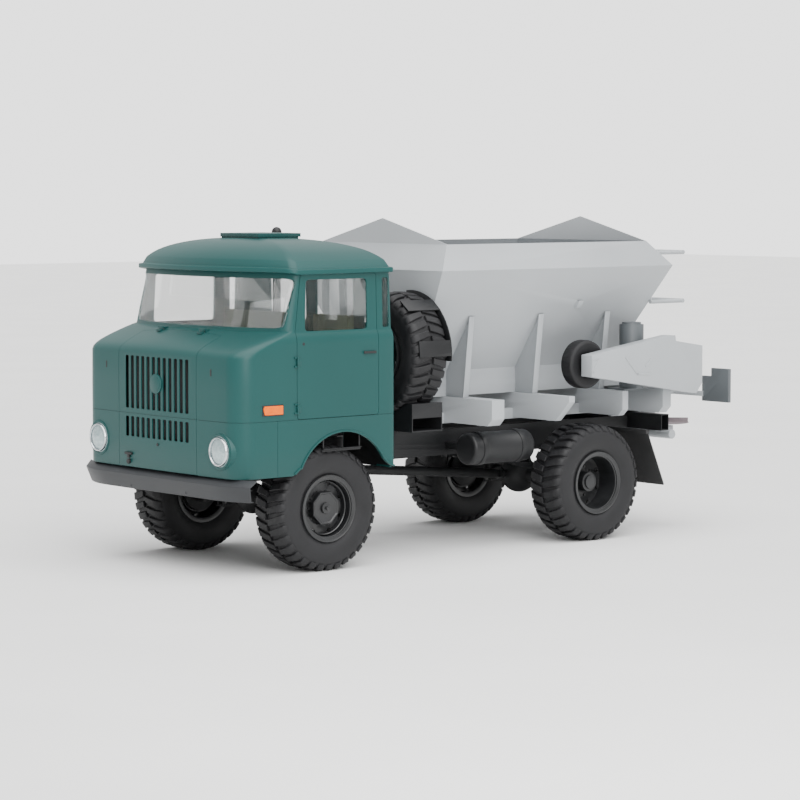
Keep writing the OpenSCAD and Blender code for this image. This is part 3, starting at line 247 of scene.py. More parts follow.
# ---------- Axles, springs and steering ----------
# Forged and cast steel under a black underbody paint, with dull dust in patches.
# The kingpins and ball studs stay hidden inside their bosses.

# Underbody paint: thick brushed bitumen enamel, duller and coarser than the frame's.
underbody_paint = grained("underbody_paint", "#0e0f10", "#191a1c", 0.12, (0.5, 0.72), bump=0.2, grain=0.008,
    shader=dull_film)

for node in ("front_axle", "rear_axle", "leaf_springs", "tie_rod", "knuckle_left", "knuckle_right"):
    eased(node, underbody_paint, 0.003)

for node in ("propshaft_front", "propshaft_rear"):
    eased(node, underbody_paint, 0.003)


# ---------- Engine, gearbox and radiator ----------
# A cast inline engine and its gearbox, with the radiator's core in front, all low between the rails.

# Foundry grey: engine enamel over a sand-cast skin.
foundry_grey = grained("foundry_grey", "#4a4f50", "#5c6162", 0.1, (0.45, 0.65), bump=0.3, grain=0.006)
# Radiator black: thin matt paint on fins.
radiator_black = grained("radiator_black", "#131415", "#1b1c1d", 0.05, (0.6, 0.75), bump=0.4, grain=0.003)

eased("engine", foundry_grey, 0.006)
eased("gearbox", foundry_grey, 0.006)
eased("radiator", radiator_black, 0.004)


# ---------- Tanks and air intake ----------
# The fuel tank is a drawn steel drum in two straps; the air tanks are smaller drums on the other side.
# The engine's intake pipe stands behind the cab with a domed rain cap.

eased("fuel_tank", chassis_enamel, 0.003)
eased("air_tanks", chassis_enamel, 0.003)
eased("air_intake", chassis_enamel, 0.003)


# ---------- Road wheels and spare wheel ----------
# Cross-ply traction tyres on dished steel discs. The casing is moulded in one piece with its lugs,
# and the front discs carry an eight-sided hub cover, the rear ones a round hub.

# Tread rubber: carbon-black natural rubber, moulded; dust turns it grey and dull in patches.
tread_rubber = grained("tread_rubber", "#131315", "#1f1f21", 0.16, (0.5, 0.68), bump=0.25, grain=0.005,
    shader={"Specular IOR Level": 0.35})
# Wheel enamel: black stoving enamel, a little glossier than the tyre.
wheel_enamel = grained("wheel_enamel", "#141516", "#1f2022", 0.2, (0.3, 0.45), bump=0.06, grain=0.006,
    coat=0.1)

tyre_low, tyre_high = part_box("tyre_front_left")
front_x = (tyre_low.x + tyre_high.x) / 2
wheel_y = (tyre_low.y + tyre_high.y) / 2
tyre_r = (tyre_high.z - tyre_low.z) / 2
bead_r = 0.2545
lugs_round = 34
lug_height = 0.022


def loft(rings, cap_start=True, cap_end=True):
    """A skin through rings that all have the same number of points, laid on by extruding edges."""
    count = len(rings[0])
    bpy.ops.object.select_all(action="DESELECT")
    bpy.ops.mesh.primitive_circle_add(vertices=count, fill_type="NOTHING")
    piece = bpy.context.object
    for vertex, place in zip(piece.data.vertices, rings[0]):
        vertex.co = place
    for ring in rings[1:]:
        start = len(piece.data.vertices)
        bpy.ops.object.mode_set(mode="EDIT")
        bpy.ops.mesh.extrude_region_move()
        bpy.ops.object.mode_set(mode="OBJECT")
        before = {tuple(round(c, 6) for c in v.co): i
                  for i, v in enumerate(piece.data.vertices[start - count:start])}
        for vertex in piece.data.vertices[start:]:
            vertex.co = ring[before[tuple(round(c, 6) for c in vertex.co)]]
    for wanted, ring in ((cap_start, rings[0]), (cap_end, rings[-1])):
        if wanted:
            only(piece)
            corners = {tuple(round(c, 5) for c in place) for place in ring}
            bpy.ops.object.mode_set(mode="EDIT")
            bpy.ops.mesh.select_all(action="DESELECT")
            bpy.ops.object.mode_set(mode="OBJECT")
            for vertex in piece.data.vertices:
                vertex.select = tuple(round(c, 5) for c in vertex.co) in corners
            bpy.ops.object.mode_set(mode="EDIT")
            bpy.ops.mesh.edge_face_add()
            bpy.ops.object.mode_set(mode="OBJECT")
    return outward(piece)


def outward(piece, merge=0.00001):
    """Merges doubled points and turns every face outwards."""
    only(piece)
    bpy.ops.object.mode_set(mode="EDIT")
    bpy.ops.mesh.select_all(action="SELECT")
    bpy.ops.mesh.remove_doubles(threshold=merge)
    bpy.ops.mesh.normals_make_consistent(inside=False)
    bpy.ops.object.mode_set(mode="OBJECT")
    return piece


def turned(profile, steps=96):
    """A closed profile of (radius, distance along the axle) turned round the Y axis."""
    bpy.ops.object.select_all(action="DESELECT")
    bpy.ops.mesh.primitive_circle_add(vertices=len(profile), fill_type="NOTHING")
    piece = bpy.context.object
    for vertex, (r, y) in zip(piece.data.vertices, profile):
        vertex.co = (0, y, r)
    bpy.ops.object.mode_set(mode="EDIT")
    bpy.ops.mesh.select_all(action="SELECT")
    bpy.ops.mesh.spin(steps=steps, angle=2 * pi, center=(0, 0, 0), axis=(0, 1, 0))
    bpy.ops.object.mode_set(mode="OBJECT")
    return outward(piece)


def twin(piece):
    """A second piece with its own mesh."""
    made = piece.copy()
    made.data = piece.data.copy()
    bpy.context.scene.collection.objects.link(made)
    return made


def joined(pieces):
    """Several pieces as one mesh."""
    bpy.ops.object.select_all(action="DESELECT")
    for piece in pieces:
        piece.select_set(True)
    bpy.context.view_layer.objects.active = pieces[0]
    bpy.ops.object.join()
    return pieces[0]


def placed(piece, offset=(0, 0, 0), turn=(0, 0, 0)):
    """Turns a piece about the origin, moves it, and puts both into its mesh."""
    piece.rotation_euler = turn
    piece.location = offset
    only(piece)
    bpy.ops.object.transform_apply(location=True, rotation=True, scale=True)
    return piece


def mirrored(piece):
    """The same shape on the vehicle's other side."""
    made = twin(piece)
    only(made)
    made.scale.y = -1
    bpy.ops.object.transform_apply(location=True, rotation=True, scale=True)
    return outward(made)


casing_out = [(bead_r, 0.163), (0.275, 0.170), (0.291, 0.166), (0.300, 0.172), (0.330, 0.188),
              (0.372, 0.1975), (0.415, 0.1995),
              (0.455, 0.196), (0.487, 0.186), (0.506, 0.168), (0.516, 0.142), (tyre_r - lug_height, 0.08)]
casing_in = [(0.494, 0.1), (0.484, 0.14), (0.45, 0.172), (0.38, 0.177), (0.31, 0.158), (bead_r, 0.142)]
casing = turned(casing_out + [(r, -y) for r, y in reversed(casing_out)]
                + [(r, -y) for r, y in reversed(casing_in)] + casing_in)


def lug(side):
    """One rubber bar from the tread's middle round to the shoulder, leaning with the tread's V."""
    sections = [(0.012, tyre_r, 0.027), (0.07, tyre_r, 0.028), (0.125, tyre_r - 0.002, 0.032),
                (0.160, tyre_r - 0.009, 0.034),
                (0.183, tyre_r - 0.027, 0.031), (0.193, tyre_r - 0.050, 0.024)]
    rings = []
    for y, top, half in sections:
        foot = min(top - 0.012, tyre_r - 0.045)
        lean = 0.26 * (0.196 - y)
        rings.append([(lean - half - 0.004, side * y, foot), (lean + half + 0.004, side * y, foot),
                      (lean + half, side * y, top), (lean - half, side * y, top)])
    return shaped(loft(rings), "BEVEL", width=0.004, segments=1, limit_method="ANGLE",
        angle_limit=radians(35))


lug_bars = []
for side, start in ((1, 0), (-1, 0.5)):
    pattern = lug(side)
    for i in range(lugs_round):
        bar = twin(pattern)
        bar.rotation_euler = (0, (i + start) * 2 * pi / lugs_round, 0)
        lug_bars.append(bar)
    bpy.data.objects.remove(pattern)
tyre_pattern = joined([casing] + lug_bars)
only(tyre_pattern)
bpy.ops.object.transform_apply(location=True, rotation=True, scale=True)

# The hub cover of a front wheel: an eight-sided pressing with a rolled edge, on a stepped ring.
cover_ring = turned([(0.228, 0.062), (0.236, 0.075), (0.236, 0.118), (0.229, 0.124), (0.222, 0.118),
    (0.218, 0.078)])


def eight_sided(r, y):
    """An octagon across the axle at y, with a flat on top."""
    return [(r * cos(pi / 8 + k * pi / 4), y, r * sin(pi / 8 + k * pi / 4)) for k in range(8)]


hub_cover = shaped(loft([eight_sided(0.150, 0.07), eight_sided(0.150, 0.132), eight_sided(0.146, 0.142),
                         eight_sided(0.136, 0.142),
                         eight_sided(0.128, 0.132), eight_sided(0.05, 0.132)]),
                   "BEVEL", width=0.003, segments=2, limit_method="ANGLE", angle_limit=radians(30))
bpy.ops.mesh.primitive_cylinder_add(vertices=48, radius=0.047, depth=0.02, location=(0, 0.141, 0),
    rotation=(radians(90), 0, 0))
centre_cap = shaped(bpy.context.object, "BEVEL", width=0.004, segments=2, limit_method="ANGLE",
    angle_limit=radians(40))
bpy.ops.mesh.primitive_cylinder_add(vertices=6, radius=0.018, depth=0.02, location=(0, 0.16, 0),
    rotation=(radians(90), 0, 0))
centre_nut = shaped(bpy.context.object, "BEVEL", width=0.002, segments=2, limit_method="ANGLE",
    angle_limit=radians(40))
front_cover = joined([hub_cover, cover_ring, centre_cap, centre_nut])
only(front_cover)
bpy.ops.object.transform_apply(location=True, rotation=True, scale=True)

# A locking ring that is split once and sprung into the rim's gutter holds the outer bead.
lock_ring = turned([(0.256, 0.166), (0.272, 0.166), (0.290, 0.176), (0.289, 0.186), (0.283, 0.1865),
    (0.268, 0.178), (0.254, 0.178)])

wheel_places = {"front_left": (front_x, 1), "front_right": (front_x, -1)}
rear_low, rear_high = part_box("tyre_rear_left")
rear_x = (rear_low.x + rear_high.x) / 2
wheel_places["rear_left"] = (rear_x, 1)
wheel_places["rear_right"] = (rear_x, -1)

for corner, (x, side) in wheel_places.items():
    half_turn = (0, 0, 0) if side > 0 else (0, 0, pi)
    hub_place = (x, side * wheel_y, tyre_r)
    body = "wheel_" + corner
    tyre = placed(twin(tyre_pattern), hub_place, half_turn)
    fitted(tyre, "tyre_with_lugs_" + corner, tread_rubber, body, 35, ["tyre_" + corner])
    eased("rim_" + corner, wheel_enamel, 0.003)
    fitted(placed(twin(lock_ring), hub_place, half_turn), "lock_ring_" + corner, wheel_enamel, body)
    if corner.startswith("front"):
        fitted(placed(twin(front_cover), hub_place, half_turn), "hub_cover_" + corner, wheel_enamel, body,
            25)

spare_low, spare_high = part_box("spare_tyre")
spare_centre = (spare_low + spare_high) / 2
spare = placed(twin(tyre_pattern), spare_centre, (0, 0, -pi / 2))
fitted(spare, "spare_tyre_with_lugs", tread_rubber, "vehicle", 35, ["spare_tyre"])
eased("spare_rim", wheel_enamel, 0.003)
fitted(placed(twin(lock_ring), spare_centre, (0, 0, -pi / 2)), "spare_lock_ring", wheel_enamel, "vehicle")
eased("spare_carrier", chassis_enamel, 0.003)
for pattern in (tyre_pattern, front_cover, lock_ring):
    bpy.data.objects.remove(pattern)


# ---------- Bumper and mud flaps ----------
# The bumper is a rolled steel channel, cut back at its lower corners; the flaps are thick rubber sheet.

# Bumper enamel: satin dark grey, chalked by weather.
bumper_enamel = grained("bumper_enamel", "#26282b", "#2f3134", 0.5, (0.42, 0.55), bump=0.06, grain=0.006,
    shader=dull_film)
# Flap rubber: calendered sheet, matt.
flap_rubber = grained("flap_rubber", "#161617", "#202021", 0.2, (0.55, 0.7), bump=0.15, grain=0.004)


def box_tool(low, high):
    """A plain block between two corners, with X from the front axle."""
    bpy.ops.object.select_all(action="DESELECT")
    centre = [(a + b) / 2 for a, b in zip(low, high)]
    bpy.ops.mesh.primitive_cube_add(size=1, location=(centre[0] + front_x, centre[1], centre[2]))
    piece = bpy.context.object
    piece.scale = [b - a for a, b in zip(low, high)]
    only(piece)
    bpy.ops.object.transform_apply(location=True, rotation=True, scale=True)
    return piece


def block(low, high, bevel=0.002, segments=2):
    """A solid block with broken edges, its X from the front axle."""
    return shaped(box_tool(low, high), "BEVEL", width=bevel, segments=segments, limit_method="ANGLE",
        angle_limit=radians(30))


bumper_low, bumper_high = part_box("front_bumper")
bumper_half, bumper_sheet = bumper_high.y, 0.009
# Across the channel: set back from the front, and height, from the inner edge of the sloping top round to
# the lip underneath.
channel = [(0.066, bumper_high.z), (0.006, 0.797), (0.0, 0.789), (0.034, bumper_low.z + 0.004),
           (0.038, bumper_low.z), (0.070, bumper_low.z),
           (0.070, bumper_low.z + bumper_sheet), (0.038 + bumper_sheet, bumper_low.z + bumper_sheet),
           (bumper_sheet, 0.788),
           (0.006 + bumper_sheet, 0.790), (0.070, bumper_high.z - bumper_sheet)]
bumper_rings = []
for k in range(-18, 19):
    across = bumper_half * sin(radians(90 * k / 18))
    swept = 0.1 * max((abs(across) - 0.80) / (bumper_half - 0.80), 0) ** 2.2
    bumper_rings.append([(bumper_high.x - swept - back,
        across * (1 - 0.045 * (bumper_high.z - z) / (bumper_high.z - bumper_low.z)), z)
                         for back, z in channel])
bumper_bar = shaped(loft(bumper_rings), "BEVEL", width=0.003, segments=2, limit_method="ANGLE",
    angle_limit=radians(35))
bumper_arms = [block((0.780, side * 0.406 - 0.006, 0.680), (1.022, side * 0.406 + 0.006, 0.780))
    for side in (1, -1)]
fitted(joined([bumper_bar] + bumper_arms), "bumper_channel", bumper_enamel, "vehicle", 34,
    ["front_bumper"])
eased("mud_flaps", flap_rubber, 0.003)


# ---------- Cab shell ----------
# Pressed steel panels spot-welded over a hollow frame: a flat nose, a sloping waist and a leaning top.
# One skin is laid up whole, then the doors, the service flap and the window openings are cut from it.

# Cab enamel: blue-green alkyd, sprayed and stoved, with a soft gloss and a trace of orange peel.
cab_enamel = grained("cab_enamel", "#144442", "#174846", 1.4, (0.38, 0.46), bump=0.05, grain=0.012,
    shader={"Specular IOR Level": 0.3})
# Trim rubber: extruded weather seal, dull black.
trim_rubber = grained("trim_rubber", "#101011", "#1a1a1b", 0.1, (0.55, 0.7), bump=0.1, grain=0.003)

skin = 0.022
panel_gap = 0.004
ledge_z = 2.064
cab_top = 2.570
crease_z = 1.325
nose_x = 1.030


def cab_ring(z, front, bow, corner, half, back, rear_corner=0.05, grow=0.0):
    """One level outline of the cab, in offsets from the front axle, from its bowed front to its rear wall."""
    front, half, back = front + grow, half + grow, back - grow
    corner, rear_corner = max(corner + grow, 0.01), max(rear_corner + grow, 0.01)
    lean = atan(2 * bow / (half - corner))
    edge = half - corner * (1 - sin(lean))
    middle = front - bow - corner * cos(lean)
    left = [(front - bow * (k / 9) ** 2, edge * k / 9) for k in range(9)]
    for k in range(11):
        turn = lean + (pi / 2 - lean) * k / 10
        left.append((middle + corner * cos(turn), half - corner + corner * sin(turn)))
    for k in range(7):
        turn = pi / 2 + pi / 2 * k / 6
        left.append((back + rear_corner + rear_corner * cos(turn),
            half - rear_corner + rear_corner * sin(turn)))
    left.append((back, 0))
    return [(front_x + x, y, z) for x, y in left + [(x, -y) for x, y in reversed(left[1:-1])]]


# Height, front, bow of the front, corner radius, half width and back of each outline.
nose_levels = [
    (0.850, 1.020, 0.022, 0.185, 1.134, -0.700), (0.862, 1.028, 0.022, 0.190, 1.139, -0.700),
    (1.100, 1.030, 0.022, 0.190, 1.140, -0.700), (1.600, 1.030, 0.022, 0.190, 1.140, -0.700),
    (1.850, 1.029, 0.024, 0.190, 1.140, -0.700), (1.880, 1.021, 0.032, 0.188, 1.140, -0.700),
    (1.905, 1.002, 0.044, 0.184, 1.140, -0.700), (1.928, 0.973, 0.058, 0.179, 1.140, -0.700),
    (1.955, 0.930, 0.080, 0.172, 1.140, -0.700), (1.985, 0.876, 0.109, 0.162, 1.1395, -0.699),
    (2.008, 0.832, 0.132, 0.155, 1.136, -0.698), (2.030, 0.790, 0.154, 0.147, 1.129, -0.697),
    (2.047, 0.757, 0.172, 0.138, 1.120, -0.695), (2.058, 0.735, 0.184, 0.133, 1.115, -0.694),
    (2.064, 0.712, 0.189, 0.128, 1.114, -0.692)]
glazed_levels = [
    (2.070, 0.692, 0.190, 0.121, 1.113, -0.690), (2.200, 0.660, 0.187, 0.115, 1.110, -0.687),
    (2.400, 0.611, 0.183, 0.107, 1.104, -0.683),
    (cab_top, 0.570, 0.180, 0.100, 1.100, -0.680)]


def rounded(corners, radius, steps=6):
    """A flat outline with rounded corners; a corner may carry its own radius as a third number."""
    points = []
    for i, here in enumerate(corners):
        r = here[2] if len(here) > 2 else radius
        p, a, b = Vector(here[:2]), Vector(corners[i - 1][:2]), Vector(corners[(i + 1) % len(corners)][:2])
        to_a, to_b = (a - p).normalized(), (b - p).normalized()
        half_angle = to_a.angle(to_b) / 2
        if r <= 0 or half_angle > radians(89):
            points.append(tuple(p))
            continue
        reach = min(r / tan(half_angle), (a - p).length * 0.49, (b - p).length * 0.49)
        start, end = p + to_a * reach, p + to_b * reach
        for k in range(steps + 1):
            t = k / steps
            points.append(tuple(start * (1 - t) ** 2 + p * 2 * t * (1 - t) + end * t ** 2))
    return points


def prism(outline, direction, start, end):
    """A solid with this outline, straight from start to end along X, Y or Z."""
    place = {"x": lambda p, d: (d, p[0], p[1]), "y": lambda p, d: (p[0], d, p[1]),
             "z": lambda p, d: (p[0], p[1], d)}[direction]
    return loft([[place(p, start) for p in outline], [place(p, end) for p in outline]])


def cut(piece, tool, operation="DIFFERENCE", keep_tool=False):
    """Cuts a piece with a tool, or keeps only what lies in it."""
    shaped(piece, "BOOLEAN", object=tool, operation=operation, solver="EXACT")
    if not keep_tool:
        bpy.data.objects.remove(tool)
    return piece


def side_cut(corners, radius, inner, outer=1.4):
    """A tool through the vehicle's left side, with an outline in X from the front axle and Z."""
    return prism(rounded([(front_x + c[0],) + tuple(c[1:]) for c in corners], radius), "y", inner, outer)


whole_skin = loft([cab_ring(*level) for level in nose_levels + glazed_levels], cap_start=False, cap_end=False)
shaped(whole_skin, "SOLIDIFY", thickness=skin, offset=-1, use_even_offset=True)
outward(whole_skin)

# A rolled bead runs round the cab at the foot of the doors; it is cut as a narrow groove.
groove = 0.004
bead = loft([cab_ring(z, nose_x, 0.022, 0.19, 1.14, -0.7, grow=g)
             for z, g in ((crease_z - 0.003, 0.02), (crease_z + 0.002, 0.02), (crease_z + 0.002, -groove),
                          (crease_z - 0.003, -groove),
                          (crease_z - 0.003, 0.02))], cap_start=False, cap_end=False)
cut(whole_skin, bead)
for side in (1, -1):
    cut(whole_skin, box_tool((0.5935, min(side * 1.136, side * 1.3), 0.83),
        (0.5965, max(side * 1.136, side * 1.3), crease_z)))

# The windscreen opening wraps round both corners, so one outline seen from the side cuts it.
screen_outline = [(0.474, 2.094), (1.2, 2.094, 0), (1.2, 2.510, 0), (0.352, 2.510)]
cut(whole_skin, prism(rounded([(front_x + c[0],) + tuple(c[1:]) for c in screen_outline], 0.045), "y", -1.4,
    1.4))

door_edge = [(-0.503, 1.328), (0.385, 1.328), (0.385, 2.064, 0), (0.318, 2.544), (-0.503, 2.544)]
grown = panel_gap
door_hole = [(-0.503 - grown, 1.328 - grown), (0.385 + grown, 1.328 - grown), (0.385 + grown, 2.064, 0),
             (0.318 + grown, 2.544 + grown),
             (-0.503 - grown, 2.544 + grown)]
door_window = [(-0.400, 2.066), (0.282, 2.066), (0.262, 2.500), (-0.400, 2.500)]
flap_half = 0.570
flap_top_x = 0.757

left_door = cut(twin(whole_skin), side_cut(door_edge, 0.03, 0.9), "INTERSECT")
cut(left_door, side_cut(door_window, 0.04, 0.8))
service_flap = cut(twin(whole_skin), box_tool((flap_top_x, -flap_half, 0.853), (1.2, flap_half, ledge_z)),
    "INTERSECT")

lamp_y, lamp_z, lamp_r = 0.89, 1.075, 0.150
arch = [(0.46, 0.80, 0), (0.448, 0.84, 0), (0.410, 0.862, 0), (0.357, 0.906, 0)]
arch += [(-0.119 + 0.507 * cos(radians(25 + 125 * k / 20)), 0.692 + 0.507 * sin(radians(25 + 125 * k / 20)),
    0) for k in range(21)]
arch += [(-0.600, 0.905, 0), (-0.640, 0.880, 0), (-0.680, 0.866, 0), (-0.75, 0.858, 0), (-0.75, 0.80, 0)]

quarter_window = [(-0.642, 2.076), (-0.572, 2.076), (-0.572, 2.502), (-0.642, 2.502)]


def other_side(tool):
    """The tool moved to the vehicle's right side."""
    made = mirrored(tool)
    bpy.data.objects.remove(tool)
    return made


cab_shell = whole_skin
for outline, radius, inner in ((door_hole, 0.034, 0.9), (arch, 0, 1.08), (quarter_window, 0.02, 0.9)):
    cut(cab_shell, side_cut(outline, radius, inner))
    cut(cab_shell, other_side(side_cut(outline, radius, inner)))
for side in (1, -1):
    rear_outline = rounded([(side * 0.07, 2.090), (side * 0.60, 2.090), (side * 0.60, 2.480),
        (side * 0.07, 2.480)], 0.04)
    cut(cab_shell, prism(rear_outline, "x", front_x - 0.80, front_x - 0.60))
    bpy.ops.mesh.primitive_cylinder_add(vertices=64, radius=lamp_r + 0.0005, depth=0.6,
                                        location=(front_x + 0.9, side * lamp_y, lamp_z),
                                        rotation=(0, radians(90), 0))
    lamp_tool = bpy.context.object
    only(lamp_tool)
    bpy.ops.object.transform_apply(location=True, rotation=True, scale=True)
    cut(cab_shell, lamp_tool)
cut(cab_shell, box_tool((flap_top_x - 0.004, -flap_half - panel_gap, 0.8),
    (1.2, flap_half + panel_gap, ledge_z + 0.002)))
cut(cab_shell, box_tool((-0.76, -0.44, 0.8), (-0.60, 0.44, 1.115)))
fitted(cab_shell, "cab_shell_pressing", cab_enamel, "vehicle", 34, ["cab_body"])

right_door = mirrored(left_door)
for door, side_name in ((left_door, "left"), (right_door, "right")):
    fitted(door, "door_pressing_" + side_name, cab_enamel, "door_" + side_name + "_body", 34,
        ["door_" + side_name])


# ---------- Door fittings ----------
# Each door hangs on two pinned hinges outside the skin, and has a pull handle over its lock.

hinge_x, hinge_y = front_x + 0.385, 1.151


def barrel(radius, low, high, place, direction="z", sides=32, bevel=0.0015):
    """A round bar from low to high along X, Y or Z, with broken edges."""
    turn = {"z": (0, 0, 0), "y": (radians(90), 0, 0), "x": (0, radians(90), 0)}[direction]
    centre = list(place)
    centre["xyz".index(direction)] = (low + high) / 2
    bpy.ops.object.select_all(action="DESELECT")
    bpy.ops.mesh.primitive_cylinder_add(vertices=sides, radius=radius, depth=high - low, location=centre,
        rotation=turn)
    piece = bpy.context.object
    only(piece)
    bpy.ops.object.transform_apply(location=True, rotation=True, scale=True)
    return shaped(piece, "BEVEL", width=bevel, segments=2, limit_method="ANGLE", angle_limit=radians(40))


for side, side_name in ((1, "left"), (-1, "right")):
    fixed, swinging = [], []
    for z in (1.418, 1.810):
        swinging.append(barrel(0.009, z - 0.030, z + 0.030, (hinge_x, side * hinge_y, z)))
        swinging.append(block((0.385 - 0.034, min(side * 1.138, side * 1.150), z - 0.030),
            (0.385 - 0.004, max(side * 1.138, side * 1.150), z + 0.030)))
        for end in (-1, 1):
            middle = z + end * 0.0375
            fixed.append(barrel(0.009, middle - 0.007, middle + 0.007, (hinge_x, side * hinge_y, z)))
            fixed.append(block((0.388, min(side * 1.136, side * 1.151), middle - 0.007),
                (0.417, max(side * 1.136, side * 1.151), middle + 0.007), 0.001))
    fitted(joined(fixed), "hinge_ears_" + side_name, cab_enamel, "vehicle")
    fitted(joined(swinging), "hinge_leaves_" + side_name, cab_enamel, "door_" + side_name + "_body")
    grip = [block((-0.463, min(side * 1.138, side * 1.150), 1.855),
        (-0.443, max(side * 1.138, side * 1.150), 1.877)),
            block((-0.360, min(side * 1.138, side * 1.150), 1.855),
             (-0.340, max(side * 1.138, side * 1.150), 1.877)),
            block((-0.470, min(side * 1.147, side * 1.156), 1.856),
             (-0.333, max(side * 1.147, side * 1.156), 1.876), 0.003)]
    fitted(joined(grip), "door_handle_" + side_name, trim_rubber, "door_" + side_name + "_body")
    plug = barrel(0.013, 1.128, 1.142, (front_x + 0.315, 0, 1.961), "y")
    fitted(plug if side > 0 else other_side(plug), "mirror_socket_" + side_name, trim_rubber, "vehicle")


# ---------- Service flap and grille ----------
# The whole middle of the nose lifts on two hinges. Pressed slots feed the radiator, over a black gauze,
# and a plain round boss sits where a maker would put a badge.

slot_pitch = 0.080
slot_half = 0.024
badge_z = 1.596

for lows, highs in ((1.366, 1.825), (1.120, 1.295)):
    for i in range(12):
        y = (i - 5.5) * slot_pitch
        outline = rounded([(y - slot_half, lows), (y + slot_half, lows), (y + slot_half, highs),
            (y - slot_half, highs)], 0.012, 3)
        cut(service_flap, prism(outline, "x", front_x + 0.94, front_x + 1.06))
cut(service_flap, box_tool((0.97, -0.53, 1.085), (nose_x - 0.011, 0.53, 1.857)))
fitted(service_flap, "service_flap_pressing", cab_enamel, "front_flap_body", 34, ["front_flap"])

badge = barrel(0.085, front_x + nose_x - 0.008, front_x + nose_x + 0.010, (0, 0, badge_z), "x", 64, 0.004)
badge_rim = barrel(0.066, front_x + nose_x + 0.008, front_x + nose_x + 0.0125, (0, 0, badge_z), "x", 64,
    0.002)
fitted(joined([badge, badge_rim]), "plain_round_boss", cab_enamel, "front_flap_body")

# Gauze: black woven wire, seen only through the slots.
gauze = grained("gauze", "#050506", "#0c0c0d", 0.01, (0.7, 0.9), bump=0.5, grain=0.003)
fitted(block((0.975, -0.52, 1.09), (0.980, 0.52, 1.85), 0.001), "radiator_gauze", gauze, "front_flap_body")

flap_hinges = []
for y in (-0.3, 0.3):
    flap_hinges.append(barrel(0.009, y - 0.030, y + 0.030, (front_x + 0.754, y, 2.066), "y"))
    flap_hinges.append(block((0.757, y - 0.030, 2.028), (0.792, y + 0.030, 2.046)))
    flap_hinges.append(block((0.757, y - 0.030, 2.040), (0.766, y + 0.030, 2.064)))
fitted(joined(flap_hinges), "flap_hinge_leaves", cab_enamel, "front_flap_body")
hinge_ears = []
for y in (-0.3, 0.3):
    for end in (-1, 1):
        middle = y + end * 0.0375
        hinge_ears.append(barrel(0.009, middle - 0.007, middle + 0.007, (front_x + 0.754, 0, 2.066), "y"))
        hinge_ears.append(block((0.712, middle - 0.007, 2.040), (0.751, middle + 0.007, 2.070), 0.001))
fitted(joined(hinge_ears), "flap_hinge_ears", cab_enamel, "vehicle")

latch = [block((nose_x - 0.006, -0.470, 0.958), (nose_x + 0.012, -0.365, 0.980), 0.005),
         block((nose_x - 0.006, -0.432, 0.930), (nose_x + 0.010, -0.400, 0.962), 0.004),
         barrel(0.022, front_x + nose_x - 0.004, front_x + nose_x + 0.014, (0, -0.413, 0.900), "x"),
         barrel(0.012, front_x + nose_x - 0.004, front_x + nose_x + 0.008, (0, 0.02, 1.075), "x")]
fitted(joined(latch), "flap_latch", trim_rubber, "front_flap_body")
for side, side_name in ((1, "left"), (-1, "right")):
    low_y, high_y = sorted((side * 0.760, side * 0.780))
    fitted(block((0.990, low_y, 1.700), (1.0165, high_y, 1.760), 0.003), "corner_hook_" + side_name,
        trim_rubber, "vehicle")


# ---------- Roof and hatch ----------
# One deep drawn panel whose rim turns out into a visor and a rain gutter, with a hatch over the middle.

roof_front, roof_bow, roof_corner, roof_half, roof_back = 0.650, 0.200, 0.110, 1.145, -0.690
crown = 2.838
roof_middle_x = -0.02


def gutter_drop(x):
    """How far the rim runs below its height over the windscreen: most at the doors' front."""
    t = min(max((x - 0.20) / 0.30, 0), 1)
    return (0.010 + 0.022 * min(max((x + 0.69) / 0.89, 0), 1)) * (1 - t * t * (3 - 2 * t))


def roof_ring(z, grow=0.0, scale=1.0):
    """One outline of the roof; scale shrinks it towards the crown and lets the gutter's dip die away."""
    made = []
    for x, y, height in cab_ring(z, roof_front, roof_bow, roof_corner, roof_half, roof_back, grow=grow):
        offset = x - front_x
        dip = gutter_drop(offset) * max(scale * 6 - 5, 0)
        made.append((front_x + roof_middle_x + (offset - roof_middle_x) * scale, y * scale, height - dip))
    return made


roof_rings = [roof_ring(2.560, -0.05), roof_ring(2.560, -0.006), roof_ring(2.564, 0), roof_ring(2.592, 0),
              roof_ring(2.600, -0.005), roof_ring(2.603, -0.016),
              roof_ring(2.606, -0.030, 0.995)]
for k in range(1, 15):
    scale = 0.965 * cos(radians(90 * k / 15.5)) ** 0.9
    roof_rings.append(roof_ring(2.606 + (crown - 2.606) * (1 - scale ** 2.6) ** 0.62, -0.03, scale))
roof_panel = loft(roof_rings, cap_start=False, cap_end=True)
shaped(roof_panel, "SOLIDIFY", thickness=0.016, offset=-1, use_even_offset=True)
outward(roof_panel)
hatch_low, hatch_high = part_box("roof_hatch")
hatch_low.x, hatch_high.x = hatch_high.x - 0.470, hatch_high.x
cut(roof_panel, box_tool((hatch_low.x + 0.034 - front_x, hatch_low.y + 0.022, 2.5),
    (hatch_high.x - 0.022 - front_x, hatch_high.y - 0.022, 3.0)))
fitted(roof_panel, "roof_pressing", cab_enamel, "vehicle", 40, ["cab_roof"])
coaming = box_tool((hatch_low.x + 0.020 - front_x, hatch_low.y + 0.008, crown - 0.030),
    (hatch_high.x - 0.008 - front_x, hatch_high.y - 0.008, crown + 0.020))
cut(coaming, box_tool((hatch_low.x + 0.032 - front_x, hatch_low.y + 0.020, crown - 0.1),
    (hatch_high.x - 0.020 - front_x, hatch_high.y - 0.020, crown + 0.1)))
fitted(coaming, "hatch_coaming", cab_enamel, "vehicle")
hatch_ears = []
